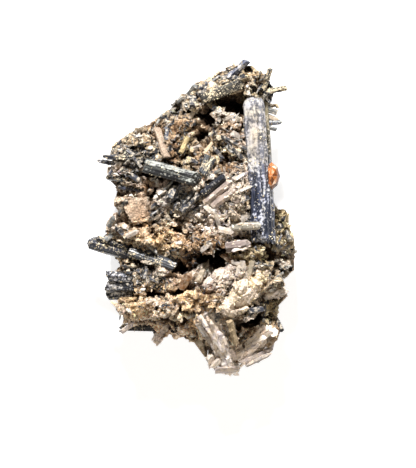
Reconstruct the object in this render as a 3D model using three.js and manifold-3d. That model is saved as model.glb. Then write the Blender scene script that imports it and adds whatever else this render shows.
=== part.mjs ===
// Black tourmaline (schorl) with smoky quartz on a lump of crumbly ochre matrix, and one small garnet.
// Millimetres, +Z up. The specimen lies on its flat broken back, its long side along Y, its crystals facing up.
import * as THREE from 'three';
import { mergeVertices } from 'three/addons/utils/BufferGeometryUtils.js';
import { ConvexGeometry } from 'three/addons/geometries/ConvexGeometry.js';
import Module from 'manifold-3d';

const wasm = await Module();
wasm.setup();

// ---------------------------------------------------------------- driving dimensions
const RIM_HEIGHT = 12; // where the lump is widest, above the surface it lies on
const FACE_HEIGHT = 24; // the crystal side before its swells are added
const FOOT_HEIGHT = -0.5; // middle level of the broken back; what reaches below 0 is flat
const FOOT_SHARE = 0.86; // width of the back as a share of the rim's
const FACE_SHARE = 0.74; // of the body's triangles that lie on the crystal side
const CORE_DETAIL = 8; // subdivisions of the body's edges
const CELL_COUNT = 380; // levels of broken crust
const SCATTER_COUNT = 12; // small crystals strewn over the crystal side
const SOCKET_GAP = 0.3; // clearance round a crystal in its socket
const CENTRE = new THREE.Vector2(-1, 0); // the plan is star shaped about this point

// ---------------------------------------------------------------- random numbers that repeat
function randomFrom(seed) {
  let state = seed >>> 0;
  return () => {
    state = (state + 0x6d2b79f5) >>> 0;
    let t = Math.imul(state ^ (state >>> 15), state | 1);
    t ^= t + Math.imul(t ^ (t >>> 7), t | 61);
    return ((t ^ (t >>> 14)) >>> 0) / 4294967296;
  };
}

function between(random, low, high) {
  return low + (high - low) * random();
}

// One name for a corner that a geometry repeats in each of its faces.
function cornerKey(...coordinates) {
  return coordinates.map((c) => Math.round(c * 1000) || 0).join();
}

// ---------------------------------------------------------------- from three.js to solids and back
function solidOf(geometry, weld = 1e-4) {
  const bare = new THREE.BufferGeometry().setAttribute('position', geometry.getAttribute('position'));
  if (geometry.index) bare.setIndex(geometry.index);
  const merged = mergeVertices(bare, weld);
  const corners = Array.from(merged.index.array);
  const triangles = corners.filter((_, i) => {
    const [a, b, c] = corners.slice(i - (i % 3), i - (i % 3) + 3);
    return a !== b && b !== c && c !== a;
  });
  return new wasm.Manifold(new wasm.Mesh({
    numProp: 3,
    vertProperties: new Float32Array(merged.attributes.position.array),
    triVerts: new Uint32Array(triangles),
  }));
}

function geometryOf(solid) {
  const { vertProperties, triVerts } = solid.getMesh();
  const geometry = new THREE.BufferGeometry();
  geometry.setAttribute('position', new THREE.BufferAttribute(vertProperties, 3));
  geometry.setIndex(new THREE.BufferAttribute(triVerts, 1));
  geometry.computeVertexNormals();
  return geometry;
}

function joined(solids) {
  return solids.reduce((all, solid) => all.add(solid));
}

// The one body that is left when slivers of less than a thousandth of a millimetre are closed up.
function largestPiece(solid) {
  return solidOf(geometryOf(solid), 1e-3).decompose().reduce((best, piece) => (piece.volume() > best.volume() ? piece : best));
}

// ---------------------------------------------------------------- plan of the lump
// Corners of the rim seen from above, clockwise from the peak.
const RIM = [
  [18, 52.5], [23.5, 50.5], [26, 46.5], [25, 42], [25.5, 36], [26, 30], [26.5, 24], [26.5, 18],
  [27.5, 9], [28.5, 3], [31.5, -1], [34.5, -3.5], [34.5, -9], [35.5, -13], [34, -18], [33, -21],
  [31.5, -24], [31, -27], [28.5, -29], [28.5, -32], [30, -35], [29.5, -40], [28.5, -43.5],
  [25.5, -47], [21, -49.5], [15.5, -49.5], [13, -51.5], [9.5, -52.5], [8, -48], [7.5, -46],
  [4.5, -45], [1.5, -44], [-2, -41.5], [-5, -40.5], [-10, -41], [-13.5, -39.5], [-18.5, -39],
  [-23, -37.5], [-25.5, -34], [-27, -29.5], [-27.5, -25], [-27, -21], [-24.5, -18], [-25, -15],
  [-28, -12.5], [-31, -10.5], [-31.5, -7], [-28.5, -2.5], [-26, 1], [-24.5, 6], [-24.5, 10],
  [-27, 13.5], [-27.5, 18], [-27.5, 22], [-26.5, 26], [-22, 28.5], [-16.5, 31], [-11.5, 34.5],
  [-7.5, 39], [-3.5, 43], [1, 45.5], [7, 48.5], [13, 51.5],
].map(([x, y]) => new THREE.Vector2(x, y));

// Distance from CENTRE to the rim in the direction of an angle.
function rimRadius(angle) {
  const ray = new THREE.Vector2(Math.cos(angle), Math.sin(angle));
  let furthest = 0;
  RIM.forEach((corner, i) => {
    const a = corner.clone().sub(CENTRE);
    const edge = RIM[(i + 1) % RIM.length].clone().sub(corner);
    const across = ray.cross(edge);
    if (Math.abs(across) < 1e-9) return;
    const distance = a.cross(edge) / across;
    const along = a.cross(ray) / across;
    if (along >= 0 && along <= 1) furthest = Math.max(furthest, distance);
  });
  return furthest;
}

// ---------------------------------------------------------------- relief of the crystal side
// Smooth swells and sags: centre x and y, half sizes, turn in degrees, height.
const SWELLS = [
  [18, 36, 11, 14, 0, 11], // shoulder that carries the great prism
  [17, 49, 9, 5, 20, 6], // peak
  [4, 40, 12, 5, 28, 8], // crest along the upper left edge
  [17, 8, 11, 16, 0, 12], // right of the middle
  [0, 12, 12, 10, 0, 9],
  [-11, 24, 14, 8, 28, 7], // upper left flank
  [-21, 17, 6, 6, 0, 1],
  [-19.5, 4, 6, 6, 0, 3], // smooth clay patch
  [11, -8.5, 13, 4.5, 0, 9], // shelf over the main cavity
  [-11, -7, 11, 6, -10, 7], // shelf on the left
  [18, -25, 11, 11, 50, 11], // quartz flank
  [-14, -30, 13, 9, 0, 8], // lower left mass
  [4, -33, 8, 9, 0, 6],
  [23, -44, 8, 6, 40, 3],
  [12, -50, 6, 6, 0, -5], // foot
  [34, -12, 5, 12, 0, -2],
  [24, 16, 5, 26, -4, 6], // ridge under the great prism
];

function swell(x, y, [cx, cy, rx, ry, turn, height]) {
  const a = THREE.MathUtils.degToRad(turn);
  const u = ((x - cx) * Math.cos(a) + (y - cy) * Math.sin(a)) / rx;
  const v = (-(x - cx) * Math.sin(a) + (y - cy) * Math.cos(a)) / ry;
  return height * Math.exp(-(u * u + v * v));
}

function faceHeight(x, y) {
  return SWELLS.reduce((z, row) => z + swell(x, y, row), FACE_HEIGHT);
}

// From the middle of the face (0) to the rim (1): how far out in plan, and how much of the height is left.
const ROUNDNESS = 1.5;
const planShare = (t) => 1 - (1 - t) ** ROUNDNESS;
const heightShare = (t) => 1 - t ** 6;

// Height of the smooth crystal side over a point of the plan, and of the rim outside it.
function groundHeight(x, y) {
  const out = new THREE.Vector2(x, y).sub(CENTRE);
  const share = Math.min(out.length() / rimRadius(out.angle()), 1);
  const t = 1 - (1 - share) ** (1 / ROUNDNESS);
  return RIM_HEIGHT + (faceHeight(x, y) - RIM_HEIGHT) * heightShare(t);
}

// ---------------------------------------------------------------- stone shapes
// A rough boulder: an icosahedron whose corners are pushed in and out.
function boulder({ x, y, z, rx, ry, rz, turn = 0, tilt = 0, detail = 1, rough = 0.16, seed }) {
  const random = randomFrom(seed);
  const geometry = new THREE.IcosahedronGeometry(1, detail);
  const pushes = new Map();
  const points = geometry.attributes.position;
  const point = new THREE.Vector3();
  for (let i = 0; i < points.count; i++) {
    point.fromBufferAttribute(points, i);
    const key = cornerKey(...point);
    if (!pushes.has(key)) pushes.set(key, 1 + rough * (2 * random() - 1));
    point.multiplyScalar(pushes.get(key));
    points.setXYZ(i, point.x * rx, point.y * ry, point.z * rz);
  }
  const place = new THREE.Matrix4().compose(
    new THREE.Vector3(x, y, z),
    new THREE.Quaternion().setFromEuler(new THREE.Euler(
      THREE.MathUtils.degToRad(tilt), 0, THREE.MathUtils.degToRad(turn), 'ZYX')),
    new THREE.Vector3(1, 1, 1),
  );
  return solidOf(geometry.applyMatrix4(place));
}

// Height of the broken crust over the smooth relief: each cell of a scatter stands at its own level,
// domed in its middle, so neighbours meet in small steps.
const CRUST_CELLS = (() => {
  const random = randomFrom(23);
  return Array.from({ length: CELL_COUNT }, () => ({
    x: between(random, -38, 38), y: between(random, -56, 56), z: between(random, 0, 42),
    level: between(random, -1.6, 1.6),
  }));
})();

function crust(x, y, z) {
  const nearest = CRUST_CELLS.reduce((best, cell) => {
    const distance = Math.hypot(cell.x - x, cell.y - y, (cell.z - z) * 0.5);
    return distance < best.distance ? { distance, cell } : best;
  }, { distance: Infinity });
  return nearest.cell.level + 1.1 - 0.05 * nearest.distance ** 2;
}

// The body of the lump: a sphere whose upper part follows the relief and whose lower part is the back.
function core() {
  const random = randomFrom(11);
  const geometry = new THREE.IcosahedronGeometry(1, CORE_DETAIL);
  const points = geometry.attributes.position;
  const moved = new Map();
  for (let i = 0; i < points.count; i++) {
    const point = new THREE.Vector3().fromBufferAttribute(points, i).normalize();
    const key = cornerKey(...point);
    if (!moved.has(key)) {
      const drop = (1 - point.z) / 2; // 0 at the top, 1 underneath, even by area
      const above = drop < FACE_SHARE;
      const t = Math.sqrt(above ? drop / FACE_SHARE : (1 - drop) / (1 - FACE_SHARE)); // 1 at the rim
      const angle = Math.atan2(point.y, point.x);
      const narrowing = above ? 1 : 1 - (1 - FOOT_SHARE) * heightShare(t);
      let reach = rimRadius(angle) * planShare(t) * narrowing;
      const x = CENTRE.x + Math.cos(angle) * reach;
      const y = CENTRE.y + Math.sin(angle) * reach;
      const far = above ? faceHeight(x, y) : FOOT_HEIGHT;
      const fall = heightShare(t);
      let z = RIM_HEIGHT + (far - RIM_HEIGHT) * fall;
      const relief = crust(x, y, z);
      z += (above ? relief : -0.7 * relief) * fall;
      reach += relief * 0.8 * (1 - fall);
      moved.set(key, [
        CENTRE.x + Math.cos(angle) * reach + between(random, -0.5, 0.5),
        CENTRE.y + Math.sin(angle) * reach + between(random, -0.5, 0.5),
        z + between(random, -0.4, 0.4),
      ]);
    }
    points.setXYZ(i, ...moved.get(key));
  }
  return solidOf(geometry);
}

// Boulders of crust that stand out of the crystal side: centre, half sizes, turn in degrees.
const LUMPS = [
  { x: 14, y: 50, rx: 5, ry: 2.6, rz: 3.4, turn: 30 },
  { x: 22, y: 48, rx: 3.6, ry: 3, rz: 3.6 },
  { x: 1, y: 42, rx: 4, ry: 2.4, rz: 3, turn: 30 },
  { x: 11, y: 33, rx: 3.6, ry: 2, rz: 3 },
  { x: 12, y: 28.4, rx: 5, ry: 2.6, rz: 3.4, turn: -10 },
  { x: -18, y: 26.4, rx: 4, ry: 2.6, rz: 3 },
  { x: -24, y: 22, rx: 3, ry: 3, rz: 3 },
  { x: 15, y: 14, rx: 3, ry: 2.6, rz: 3 },
  { x: 6, y: 0.4, rx: 4.4, ry: 2.4, rz: 3 },
  { x: -2, y: 2, rx: 3.6, ry: 2.6, rz: 3.4, turn: 20 },
  { x: -20, y: 5, rx: 4.4, ry: 4, rz: 3 },
  { x: -15, y: -9.4, rx: 5, ry: 2, rz: 3, turn: -14 },
  { x: -4, y: -9.6, rx: 4, ry: 2.6, rz: 3.4 },
  { x: 5, y: -9, rx: 5.4, ry: 1.9, rz: 3, turn: -4 },
  { x: -10, y: -21, rx: 4, ry: 2.4, rz: 3 },
  { x: -20, y: -31, rx: 4, ry: 3, rz: 3 },
  { x: -9, y: -32, rx: 5, ry: 2.6, rz: 3, turn: 8 },
  { x: 26, y: -23, rx: 3, ry: 3, rz: 3.4 },
  { x: 30, y: -8, rx: 2.6, ry: 4, rz: 3 },
  { x: -2, y: -38.6, rx: 4, ry: 2, rz: 3, turn: -12 },
];

function crustLumps() {
  return LUMPS.map((lump, i) => boulder({
    ...lump, z: groundHeight(lump.x, lump.y) - 0.6, detail: 0, rough: 0.24, seed: 101 + i,
  }));
}

// Cavities of the crystal side: centre, half sizes, turn and tilt in degrees.
const PITS = [
  { x: 16.2, y: 40.6, rx: 5.6, ry: 3.6, rz: 10, turn: 30 }, // beside the top of the great prism
  { x: 11, y: 38, rx: 5.6, ry: 2.9, rz: 8, turn: 25 },
  { x: 5.2, y: 35.4, rx: 6, ry: 2.4, rz: 6, turn: 10 },
  { x: 5.2, y: 28.6, rx: 2.8, ry: 4.6, rz: 7, turn: -10 },
  { x: 0.2, y: 29.2, rx: 3.2, ry: 1.6, rz: 5, turn: -15 },
  { x: -2.8, y: 22.8, rx: 1.7, ry: 4.2, rz: 5, turn: -18 },
  { x: -14, y: 13.6, rx: 5.6, ry: 3.9, rz: 7.5, turn: -8 }, // under the striated bar
  { x: -7, y: 12, rx: 5.4, ry: 2.2, rz: 6, turn: -14 },
  { x: -14.2, y: 7.4, rx: 2.3, ry: 3.4, rz: 5 },
  { x: 11, y: 18.8, rx: 3.8, ry: 2.6, rz: 5, turn: -30 },
  { x: 18.8, y: 17, rx: 2.2, ry: 1.7, rz: 4, turn: -20 },
  { x: -19, y: -2.6, rx: 4.3, ry: 1.1, rz: 5, turn: 18 },
  { x: -3.4, y: -3.6, rx: 7.4, ry: 1.3, rz: 6, turn: -12 },
  { x: 10.6, y: -6.4, rx: 6.8, ry: 1, rz: 5, turn: 2 },
  { x: -13.4, y: -6, rx: 1.7, ry: 2.1, rz: 5 },
  { x: 7, y: -13.8, rx: 6.6, ry: 2.7, rz: 11, tilt: 12 }, // the main cavity, below the shelf
  { x: -2.6, y: -18.3, rx: 4.8, ry: 2.3, rz: 9, turn: 22 },
  { x: -12.4, y: -27.4, rx: 4.1, ry: 2.2, rz: 8, turn: 8, tilt: 15 },
  { x: -4, y: -25.8, rx: 4.2, ry: 2, rz: 8, turn: 20, tilt: 15 },
  { x: -0.4, y: -33, rx: 2.1, ry: 1.7, rz: 6 },
  { x: -7, y: -36.3, rx: 6.6, ry: 1.1, rz: 6, turn: 4 },
  { x: 20, y: -36.2, rx: 5.8, ry: 3.1, rz: 9, turn: 18, tilt: 12 }, // lower right cavity
  { x: 12.4, y: -24, rx: 2.1, ry: 1.6, rz: 5 },
  { x: 27.4, y: -12.6, rx: 4.2, ry: 2.8, rz: 8, turn: -20 }, // hollow below the great prism
  { x: 33, y: -18.6, rx: 3, ry: 1.6, rz: 8 },
  { x: -15.2, y: 29.2, rx: 2.4, ry: 1.6, rz: 4 },
  { x: -19.6, y: -15.8, rx: 5, ry: 1.1, rz: 6, turn: -12 },
];

function pitCuts() {
  return PITS.map((pit, i) => boulder({
    ...pit, z: groundHeight(pit.x, pit.y) + 0.3 * pit.rz, detail: 0, rough: 0.2, seed: 601 + i,
  }));
}

// ---------------------------------------------------------------- crystals
// Cross sections as a share of the radius, by angle round the axis.
const SECTIONS = {
  tourmaline: (angle) => 0.92 + 0.1 * Math.cos(3 * angle), // a triangle with bulging sides
  striated: (angle, i) => 0.93 + 0.1 * Math.cos(3 * angle) + (i % 2 ? 0.035 : -0.035), // with flutes
  quartz: () => 1,
};

// A prism from one point to another. The point end may be a pyramid, a chisel or a rough break.
function prism({ from, to, radius, form = 'tourmaline', sides = 6, rows = 1, point = 0.3, slant = 0,
  taper = 0, roll = 0, rough = 0.03, grow = 0, seed = 1 }) {
  const start = new THREE.Vector3(...from);
  const axis = new THREE.Vector3(...to).sub(start);
  const length = axis.length();
  const geometry = new THREE.CylinderGeometry(1, 1, 1, sides, rows);
  const points = geometry.attributes.position;
  const section = SECTIONS[form];
  for (let i = 0; i < points.count; i++) {
    const x = points.getX(i);
    const y = points.getY(i);
    const z = points.getZ(i);
    const onAxis = Math.hypot(x, z) < 0.01;
    const share = y + 0.5;
    const angle = Math.atan2(z, x);
    const step = Math.round((angle / (2 * Math.PI)) * sides + sides) % sides;
    const random = randomFrom(seed * 9973 + step * 101 + Math.round(share * 12));
    const out = between(random, -1, 1);
    const up = between(random, -1, 1);
    const radial = onAxis ? 0 : radius * section(angle, step) * (1 - taper * share) * (1 + rough * out) + grow;
    let height = share * length + (share > 0.99 ? slant * x * radius : 0) + (share - 0.5) * 2 * grow;
    if (onAxis && share > 0.5) height += point * radius;
    if (onAxis && share < 0.5) height -= point * radius * 0.5;
    if (!onAxis && (share > 0.99 || share < 0.01)) height += rough * 4 * up * radius;
    points.setXYZ(i, onAxis ? 0 : Math.cos(angle) * radial, height, onAxis ? 0 : Math.sin(angle) * radial);
  }
  const turn = new THREE.Quaternion().setFromUnitVectors(new THREE.Vector3(0, 1, 0), axis.normalize());
  turn.multiply(new THREE.Quaternion().setFromAxisAngle(
    new THREE.Vector3(0, 1, 0), THREE.MathUtils.degToRad(roll)));
  return { geometry, start, turn };
}

function prismSolid(shape) {
  const { geometry, start, turn } = prism(shape);
  return solidOf(geometry.applyQuaternion(turn).translate(start.x, start.y, start.z));
}

// The hollow that a crystal sits in. Round a striated crystal it is plainer and a little wider.
function socket(shape) {
  const plain = { ...shape, rows: 1, grow: SOCKET_GAP };
  if (shape.form === 'striated') Object.assign(plain, { form: 'tourmaline', sides: 12, grow: 2 * SOCKET_GAP });
  return prismSolid(plain);
}

const TOURMALINE = new THREE.MeshStandardMaterial({ color: 0x24262b, roughness: 0.55, metalness: 0 });
const QUARTZ = new THREE.MeshStandardMaterial({ color: 0xb3a08c, roughness: 0.2, metalness: 0 });
const GARNET = new THREE.MeshStandardMaterial({ color: 0xb5652a, roughness: 0.25, metalness: 0 });
const OCHRE = new THREE.MeshStandardMaterial({ color: 0xb59468, roughness: 0.95, metalness: 0 });

// Each entry is one crystal, or crystals grown into one another, that stands by itself in the lump.
const TOURMALINES = {
  great_tourmaline: [
    { from: [21.3, 41.5, 32.2], to: [24.4, -9, 33.8], radius: 4.1, form: 'striated', sides: 24, rows: 3,
      point: 0.05, slant: 0.06, roll: 8, rough: 0.02, seed: 1 },
    { from: [25.8, 22, 28.6], to: [27.4, -8.6, 30.6], radius: 2.4, form: 'striated', sides: 18, rows: 2,
      point: 0.1, roll: 30, rough: 0.03, seed: 2 },
  ],
  striated_bar: [
    { from: [-16, 18.2, 32.8], to: [1.8, 13.3, 36.2], radius: 2.7, form: 'striated', sides: 18, rows: 2,
      point: 0.2, slant: 0.5, roll: 90, seed: 3 },
  ],
  black_stub: [
    { from: [3.9, 8.2, 35], to: [11.2, 14, 38.8], radius: 1.75, sides: 6, rows: 2, point: 0.15, seed: 4 },
  ],
  left_spike_upper: [
    { from: [-19, 17.4, 26], to: [-32.4, 19.9, 21.4], radius: 1.2, sides: 6, rows: 2, taper: 0.25,
      point: 0.9, seed: 5 },
  ],
  left_spike_top: [
    { from: [-16.5, 20.6, 30], to: [-29.6, 21.2, 24.4], radius: 1.3, sides: 6, rows: 2, taper: 0.2, seed: 6 },
  ],
  left_spike_middle: [
    { from: [-18.4, 12.8, 25.8], to: [-29.6, 14.2, 21], radius: 1.25, sides: 6, rows: 2, taper: 0.2,
      point: 0.7, seed: 7 },
  ],
  left_spike_lower: [
    { from: [-16.5, 9.4, 25.6], to: [-25.4, 10.9, 21], radius: 1.2, sides: 6, taper: 0.2, seed: 8 },
  ],
  left_horn: [
    { from: [-22.4, -12.4, 20.4], to: [-35.4, -9, 17.6], radius: 3.1, sides: 12, rows: 2, taper: 0.15,
      point: 0.5, rough: 0.06, seed: 9 },
    { from: [-22, -10.4, 23], to: [-33, -7.4, 19.8], radius: 1.6, sides: 6, rows: 1, taper: 0.2, seed: 10 },
  ],
  shelf_bar: [
    { from: [-21.6, -11.8, 25.4], to: [-6.4, -17.2, 28.4], radius: 2.3, sides: 12, rows: 2, point: 0.4,
      slant: -0.6, roll: 40, rough: 0.05, seed: 11 },
  ],
  corner_cluster: [
    { from: [-20.4, -21.4, 23.6], to: [-29.4, -20.6, 21.6], radius: 2.2, sides: 6, slant: 0.4, seed: 12 },
    { from: [-20, -24, 22.6], to: [-29.6, -24, 19.6], radius: 2.3, sides: 6, slant: -0.4, seed: 13 },
    { from: [-20.4, -26.6, 21], to: [-29.4, -27.4, 16.8], radius: 1.9, sides: 6, slant: 0.3, seed: 14 },
  ],
  lower_edge_prism: [
    { from: [-13.4, -38.8, 14.6], to: [-24.4, -38.8, 13.4], radius: 1.7, sides: 6, rows: 2, taper: 0.2,
      point: 0.8, seed: 15 },
  ],
  peak_prism: [
    { from: [12.6, 48.6, 25.6], to: [19.4, 54.8, 27], radius: 1.6, sides: 6, rows: 2, point: 0.3,
      slant: 0.4, seed: 16 },
  ],
  crest_prism: [
    { from: [4, 41.2, 31.4], to: [17.2, 46.6, 32.6], radius: 2.1, sides: 12, rows: 2, point: 0.2,
      slant: 0.5, roll: 90, seed: 17 },
  ],
  upper_right_pair: [
    { from: [24, 41.4, 23.4], to: [27.6, 52, 26.6], radius: 1.15, sides: 6, rows: 2, seed: 19 },
    { from: [22.6, 43.4, 22.4], to: [33.2, 45.4, 25.4], radius: 1.05, sides: 6, rows: 2, taper: -0.15,
      point: 0.1, seed: 20 },
  ],
  side_spur_middle: [
    { from: [22.4, 33.4, 23], to: [31, 33.4, 24.6], radius: 1.9, sides: 6, taper: 0.45, point: 0.6, seed: 22 },
  ],
  ladder_prism: [
    { from: [4.4, 14.6, 35.6], to: [7.9, 20.6, 34.6], radius: 1.25, sides: 6, seed: 26 },
    { from: [2.9, 15, 35.4], to: [5.8, 21.6, 34], radius: 0.95, sides: 6, seed: 27 },
  ],
};

const QUARTZES = {
  middle_quartz: [
    { from: [4.6, 5.4, 33.4], to: [12.8, 12, 38.4], radius: 1.7, form: 'quartz', sides: 6, taper: 0.1,
      point: 0.9, seed: 31 },
    { from: [7.4, 4.2, 33.8], to: [15, 9.6, 38.8], radius: 1.6, form: 'quartz', sides: 6, taper: 0.1,
      point: 0.9, seed: 32 },
  ],
  quartz_blade: [
    { from: [14.6, -3.4, 35.4], to: [23.2, -2.8, 40], radius: 1.6, form: 'quartz', sides: 6, taper: 0.1,
      point: 0.8, seed: 33 },
  ],
  shelf_quartz: [
    { from: [12.2, -10.4, 35.8], to: [19.4, -9.2, 37], radius: 2, form: 'quartz', sides: 6, taper: 0.1,
      point: 0.8, seed: 34 },
  ],
  lower_quartz_pair: [
    { from: [5, -24, 29.6], to: [10.4, -18.8, 31.8], radius: 1.9, form: 'quartz', sides: 6, point: 0.8, seed: 36 },
    { from: [9.6, -22.4, 31.4], to: [14, -17.2, 32.4], radius: 1.8, form: 'quartz', sides: 6, point: 0.8, seed: 37 },
  ],
  flank_quartz: [
    { from: [11.8, -33.4, 31.2], to: [18.8, -22.6, 36], radius: 2.9, form: 'quartz', sides: 6, taper: 0.08,
      point: 0.6, seed: 38 },
    { from: [15.4, -32.6, 31.4], to: [22.6, -22.4, 34.6], radius: 2.6, form: 'quartz', sides: 6, taper: 0.08,
      point: 0.6, seed: 39 },
    { from: [19, -30, 31.6], to: [24.6, -18.6, 32], radius: 2.5, form: 'quartz', sides: 6, taper: 0.1,
      point: 0.7, seed: 40 },
  ],
  foot_quartz: [
    { from: [5.2, -34.4, 28.4], to: [10.6, -43.4, 24.4], radius: 2.6, form: 'quartz', sides: 6, taper: 0.05,
      point: 0.6, seed: 42 },
    { from: [9, -41.4, 22.4], to: [13.2, -51.4, 18.4], radius: 3.2, form: 'quartz', sides: 6, taper: 0.12,
      point: 0.6, seed: 43 },
    { from: [9.6, -49.4, 17.4], to: [6.6, -50.6, 20.6], radius: 1.7, form: 'quartz', sides: 6, point: 0.5, seed: 44 },
    { from: [10.4, -53, 16], to: [16, -53.2, 15.6], radius: 1.6, form: 'quartz', sides: 6, taper: 0.2,
      point: 0.6, seed: 45 },
  ],
  corner_quartz: [
    { from: [16.4, -49.4, 17], to: [27, -38.4, 23.6], radius: 2.7, form: 'quartz', sides: 6, taper: 0.08,
      point: 0.35, seed: 46 },
    { from: [19.6, -48.4, 14.8], to: [26.6, -43, 18.6], radius: 2.6, form: 'quartz', sides: 6, taper: 0.1,
      point: 0.6, seed: 47 },
    { from: [27.2, -41.4, 14], to: [28.8, -40.2, 23.6], radius: 1.75, form: 'quartz', sides: 6, point: 0.1, seed: 48 },
  ],
  right_edge_quartz: [
    { from: [25.4, -27.8, 23.4], to: [32.2, -25.6, 22.2], radius: 1.7, form: 'quartz', sides: 6, point: 0.7, seed: 49 },
  ],
  lower_left_quartz: [
    { from: [-8.4, -37.8, 18.4], to: [-12.6, -43.2, 15.6], radius: 1.8, form: 'quartz', sides: 6, point: 0.7, seed: 50 },
  ],
};

// Crystals too small to stand by themselves, fused to the matrix.
const SMALL_CRYSTALS = [
  { from: [26.4, -1.8, 20.6], to: [33, 2, 23.4], radius: 1.2, sides: 6, taper: 0.3, point: 0.6, seed: 23 },
  { from: [22.4, 38, 22.6], to: [30, 39.4, 24.4], radius: 0.95, sides: 6, point: 0.6, seed: 21 },
  { from: [11, 27.8, 32.6], to: [17.4, 24.2, 35.2], radius: 1, sides: 6, seed: 24 },
  { from: [13.6, 24, 33.8], to: [17, 20, 36], radius: 1, sides: 6, seed: 25 },
  { from: [-9.6, 26.6, 30.8], to: [-7.2, 33.2, 28], radius: 1.2, sides: 6, seed: 28 },
  { from: [0.2, 41.8, 27.6], to: [1.6, 37.8, 31.6], radius: 1.4, sides: 6, seed: 29 },
  { from: [2, 44.2, 21.8], to: [9.4, 48, 23], radius: 1.4, sides: 6, seed: 18 },
  { from: [2.4, -22.2, 27.6], to: [4.8, -16.6, 29], radius: 1.7, form: 'quartz', sides: 6, point: 0.8, seed: 35 },
  { from: [13, -36.4, 28], to: [15.6, -43.4, 26], radius: 1.7, form: 'quartz', sides: 6, point: 0.5, seed: 41 },
  { from: [-4.4, -24.4, 27.6], to: [-0.4, -20, 28.4], radius: 1.7, form: 'quartz', sides: 6, point: 0.6, seed: 51 },
];

// The garnet: the 24 kites of a trapezohedron, drawn out along the great prism that it sits against.
function garnetGeometry({ x, y, z, rx, ry, rz }) {
  const corners = [];
  for (const a of [-1, 0, 1]) {
    for (const b of [-1, 0, 1]) {
      for (const c of [-1, 0, 1]) {
        const axes = Math.abs(a) + Math.abs(b) + Math.abs(c);
        if (!axes) continue;
        const reach = [1, 2 / 3, 1 / 2][axes - 1];
        corners.push(new THREE.Vector3(a * reach * rx, b * reach * ry, c * reach * rz));
      }
    }
  }
  return new ConvexGeometry(corners).translate(x, y, z);
}

const GARNET_SEAT = { x: 28.5, y: 14.4, z: 31, rx: 2.5, ry: 4.1, rz: 2.9 };

// ---------------------------------------------------------------- the specimen
// Small crystals fused to the matrix: the placed ones, and a loose scatter that leans along the surface.
function smallPrisms() {
  const random = randomFrom(71);
  const made = SMALL_CRYSTALS.map(prismSolid);
  for (let i = 0; i < SCATTER_COUNT; i++) {
    const angle = between(random, 0, 2 * Math.PI);
    const reach = rimRadius(angle) * Math.sqrt(between(random, 0.02, 0.9));
    const x = CENTRE.x + Math.cos(angle) * reach;
    const y = CENTRE.y + Math.sin(angle) * reach;
    const z = groundHeight(x, y);
    const heading = between(random, 0, 2 * Math.PI);
    const length = between(random, 3, 6.4);
    const rise = between(random, 0.6, 2.6);
    made.push(prismSolid({
      from: [x, y, z - 1.4],
      to: [x + Math.cos(heading) * length, y + Math.sin(heading) * length, z - 1 + rise],
      radius: between(random, 0.8, 1.5), form: random() < 0.5 ? 'quartz' : 'tourmaline',
      point: between(random, 0.1, 0.9), taper: 0.1, seed: 200 + i,
    }));
  }
  return made;
}

function below(height) {
  return solidOf(new THREE.BoxGeometry(200, 200, 60).translate(0, 0, height - 30));
}

function build() {
  const specimen = new THREE.Group();
  const taken = []; // sockets of the crystals made so far

  function add(parent, name, solid, material, start, turn) {
    const mesh = new THREE.Mesh(geometryOf(solid), material);
    mesh.name = name;
    if (start) {
      mesh.position.copy(start);
      mesh.quaternion.copy(turn);
      mesh.updateMatrix();
      mesh.geometry.applyMatrix4(mesh.matrix.clone().invert());
    }
    parent.add(mesh);
  }

  function addCrystals(groupName, crystals, material) {
    const group = new THREE.Group();
    group.name = groupName;
    specimen.add(group);
    Object.entries(crystals).forEach(([name, shapes]) => {
      let solid = joined(shapes.map(prismSolid));
      taken.forEach((hollow) => { solid = solid.subtract(hollow); });
      const { start, turn } = prism(shapes[0]);
      add(group, name, largestPiece(solid), material, start, turn);
      taken.push(joined(shapes.map(socket)));
    });
  }

  addCrystals('tourmalines', TOURMALINES, TOURMALINE);
  addCrystals('quartzes', QUARTZES, QUARTZ);

  let garnet = solidOf(garnetGeometry(GARNET_SEAT));
  taken.forEach((hollow) => { garnet = garnet.subtract(hollow); });
  add(specimen, 'garnet', largestPiece(garnet), GARNET);
  const { rx, ry, rz } = GARNET_SEAT;
  taken.push(solidOf(garnetGeometry({
    ...GARNET_SEAT, rx: rx + SOCKET_GAP * 1.5, ry: ry + SOCKET_GAP * 1.5, rz: rz + SOCKET_GAP * 1.5,
  })));

  let matrix = joined([core(), ...crustLumps()]);
  pitCuts().forEach((pit) => { matrix = matrix.subtract(pit); });
  matrix = joined([matrix, ...smallPrisms()]);
  taken.forEach((hollow) => { matrix = matrix.subtract(hollow); });
  matrix = matrix.subtract(below(0));
  add(specimen, 'matrix', largestPiece(matrix), OCHRE);
  return specimen;
}

const specimen = build();

// The origin is the middle of the plan, on the surface that the lump lies on.
const box = new THREE.Box3().setFromObject(specimen, true);
specimen.position.set(-(box.min.x + box.max.x) / 2, -(box.min.y + box.max.y) / 2, -box.min.z);

const part = new THREE.Group();
part.add(specimen);
export default part;
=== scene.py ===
import math

import bmesh
import bpy
import numpy as np
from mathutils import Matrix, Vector, noise
from mathutils.bvhtree import BVHTree


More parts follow.
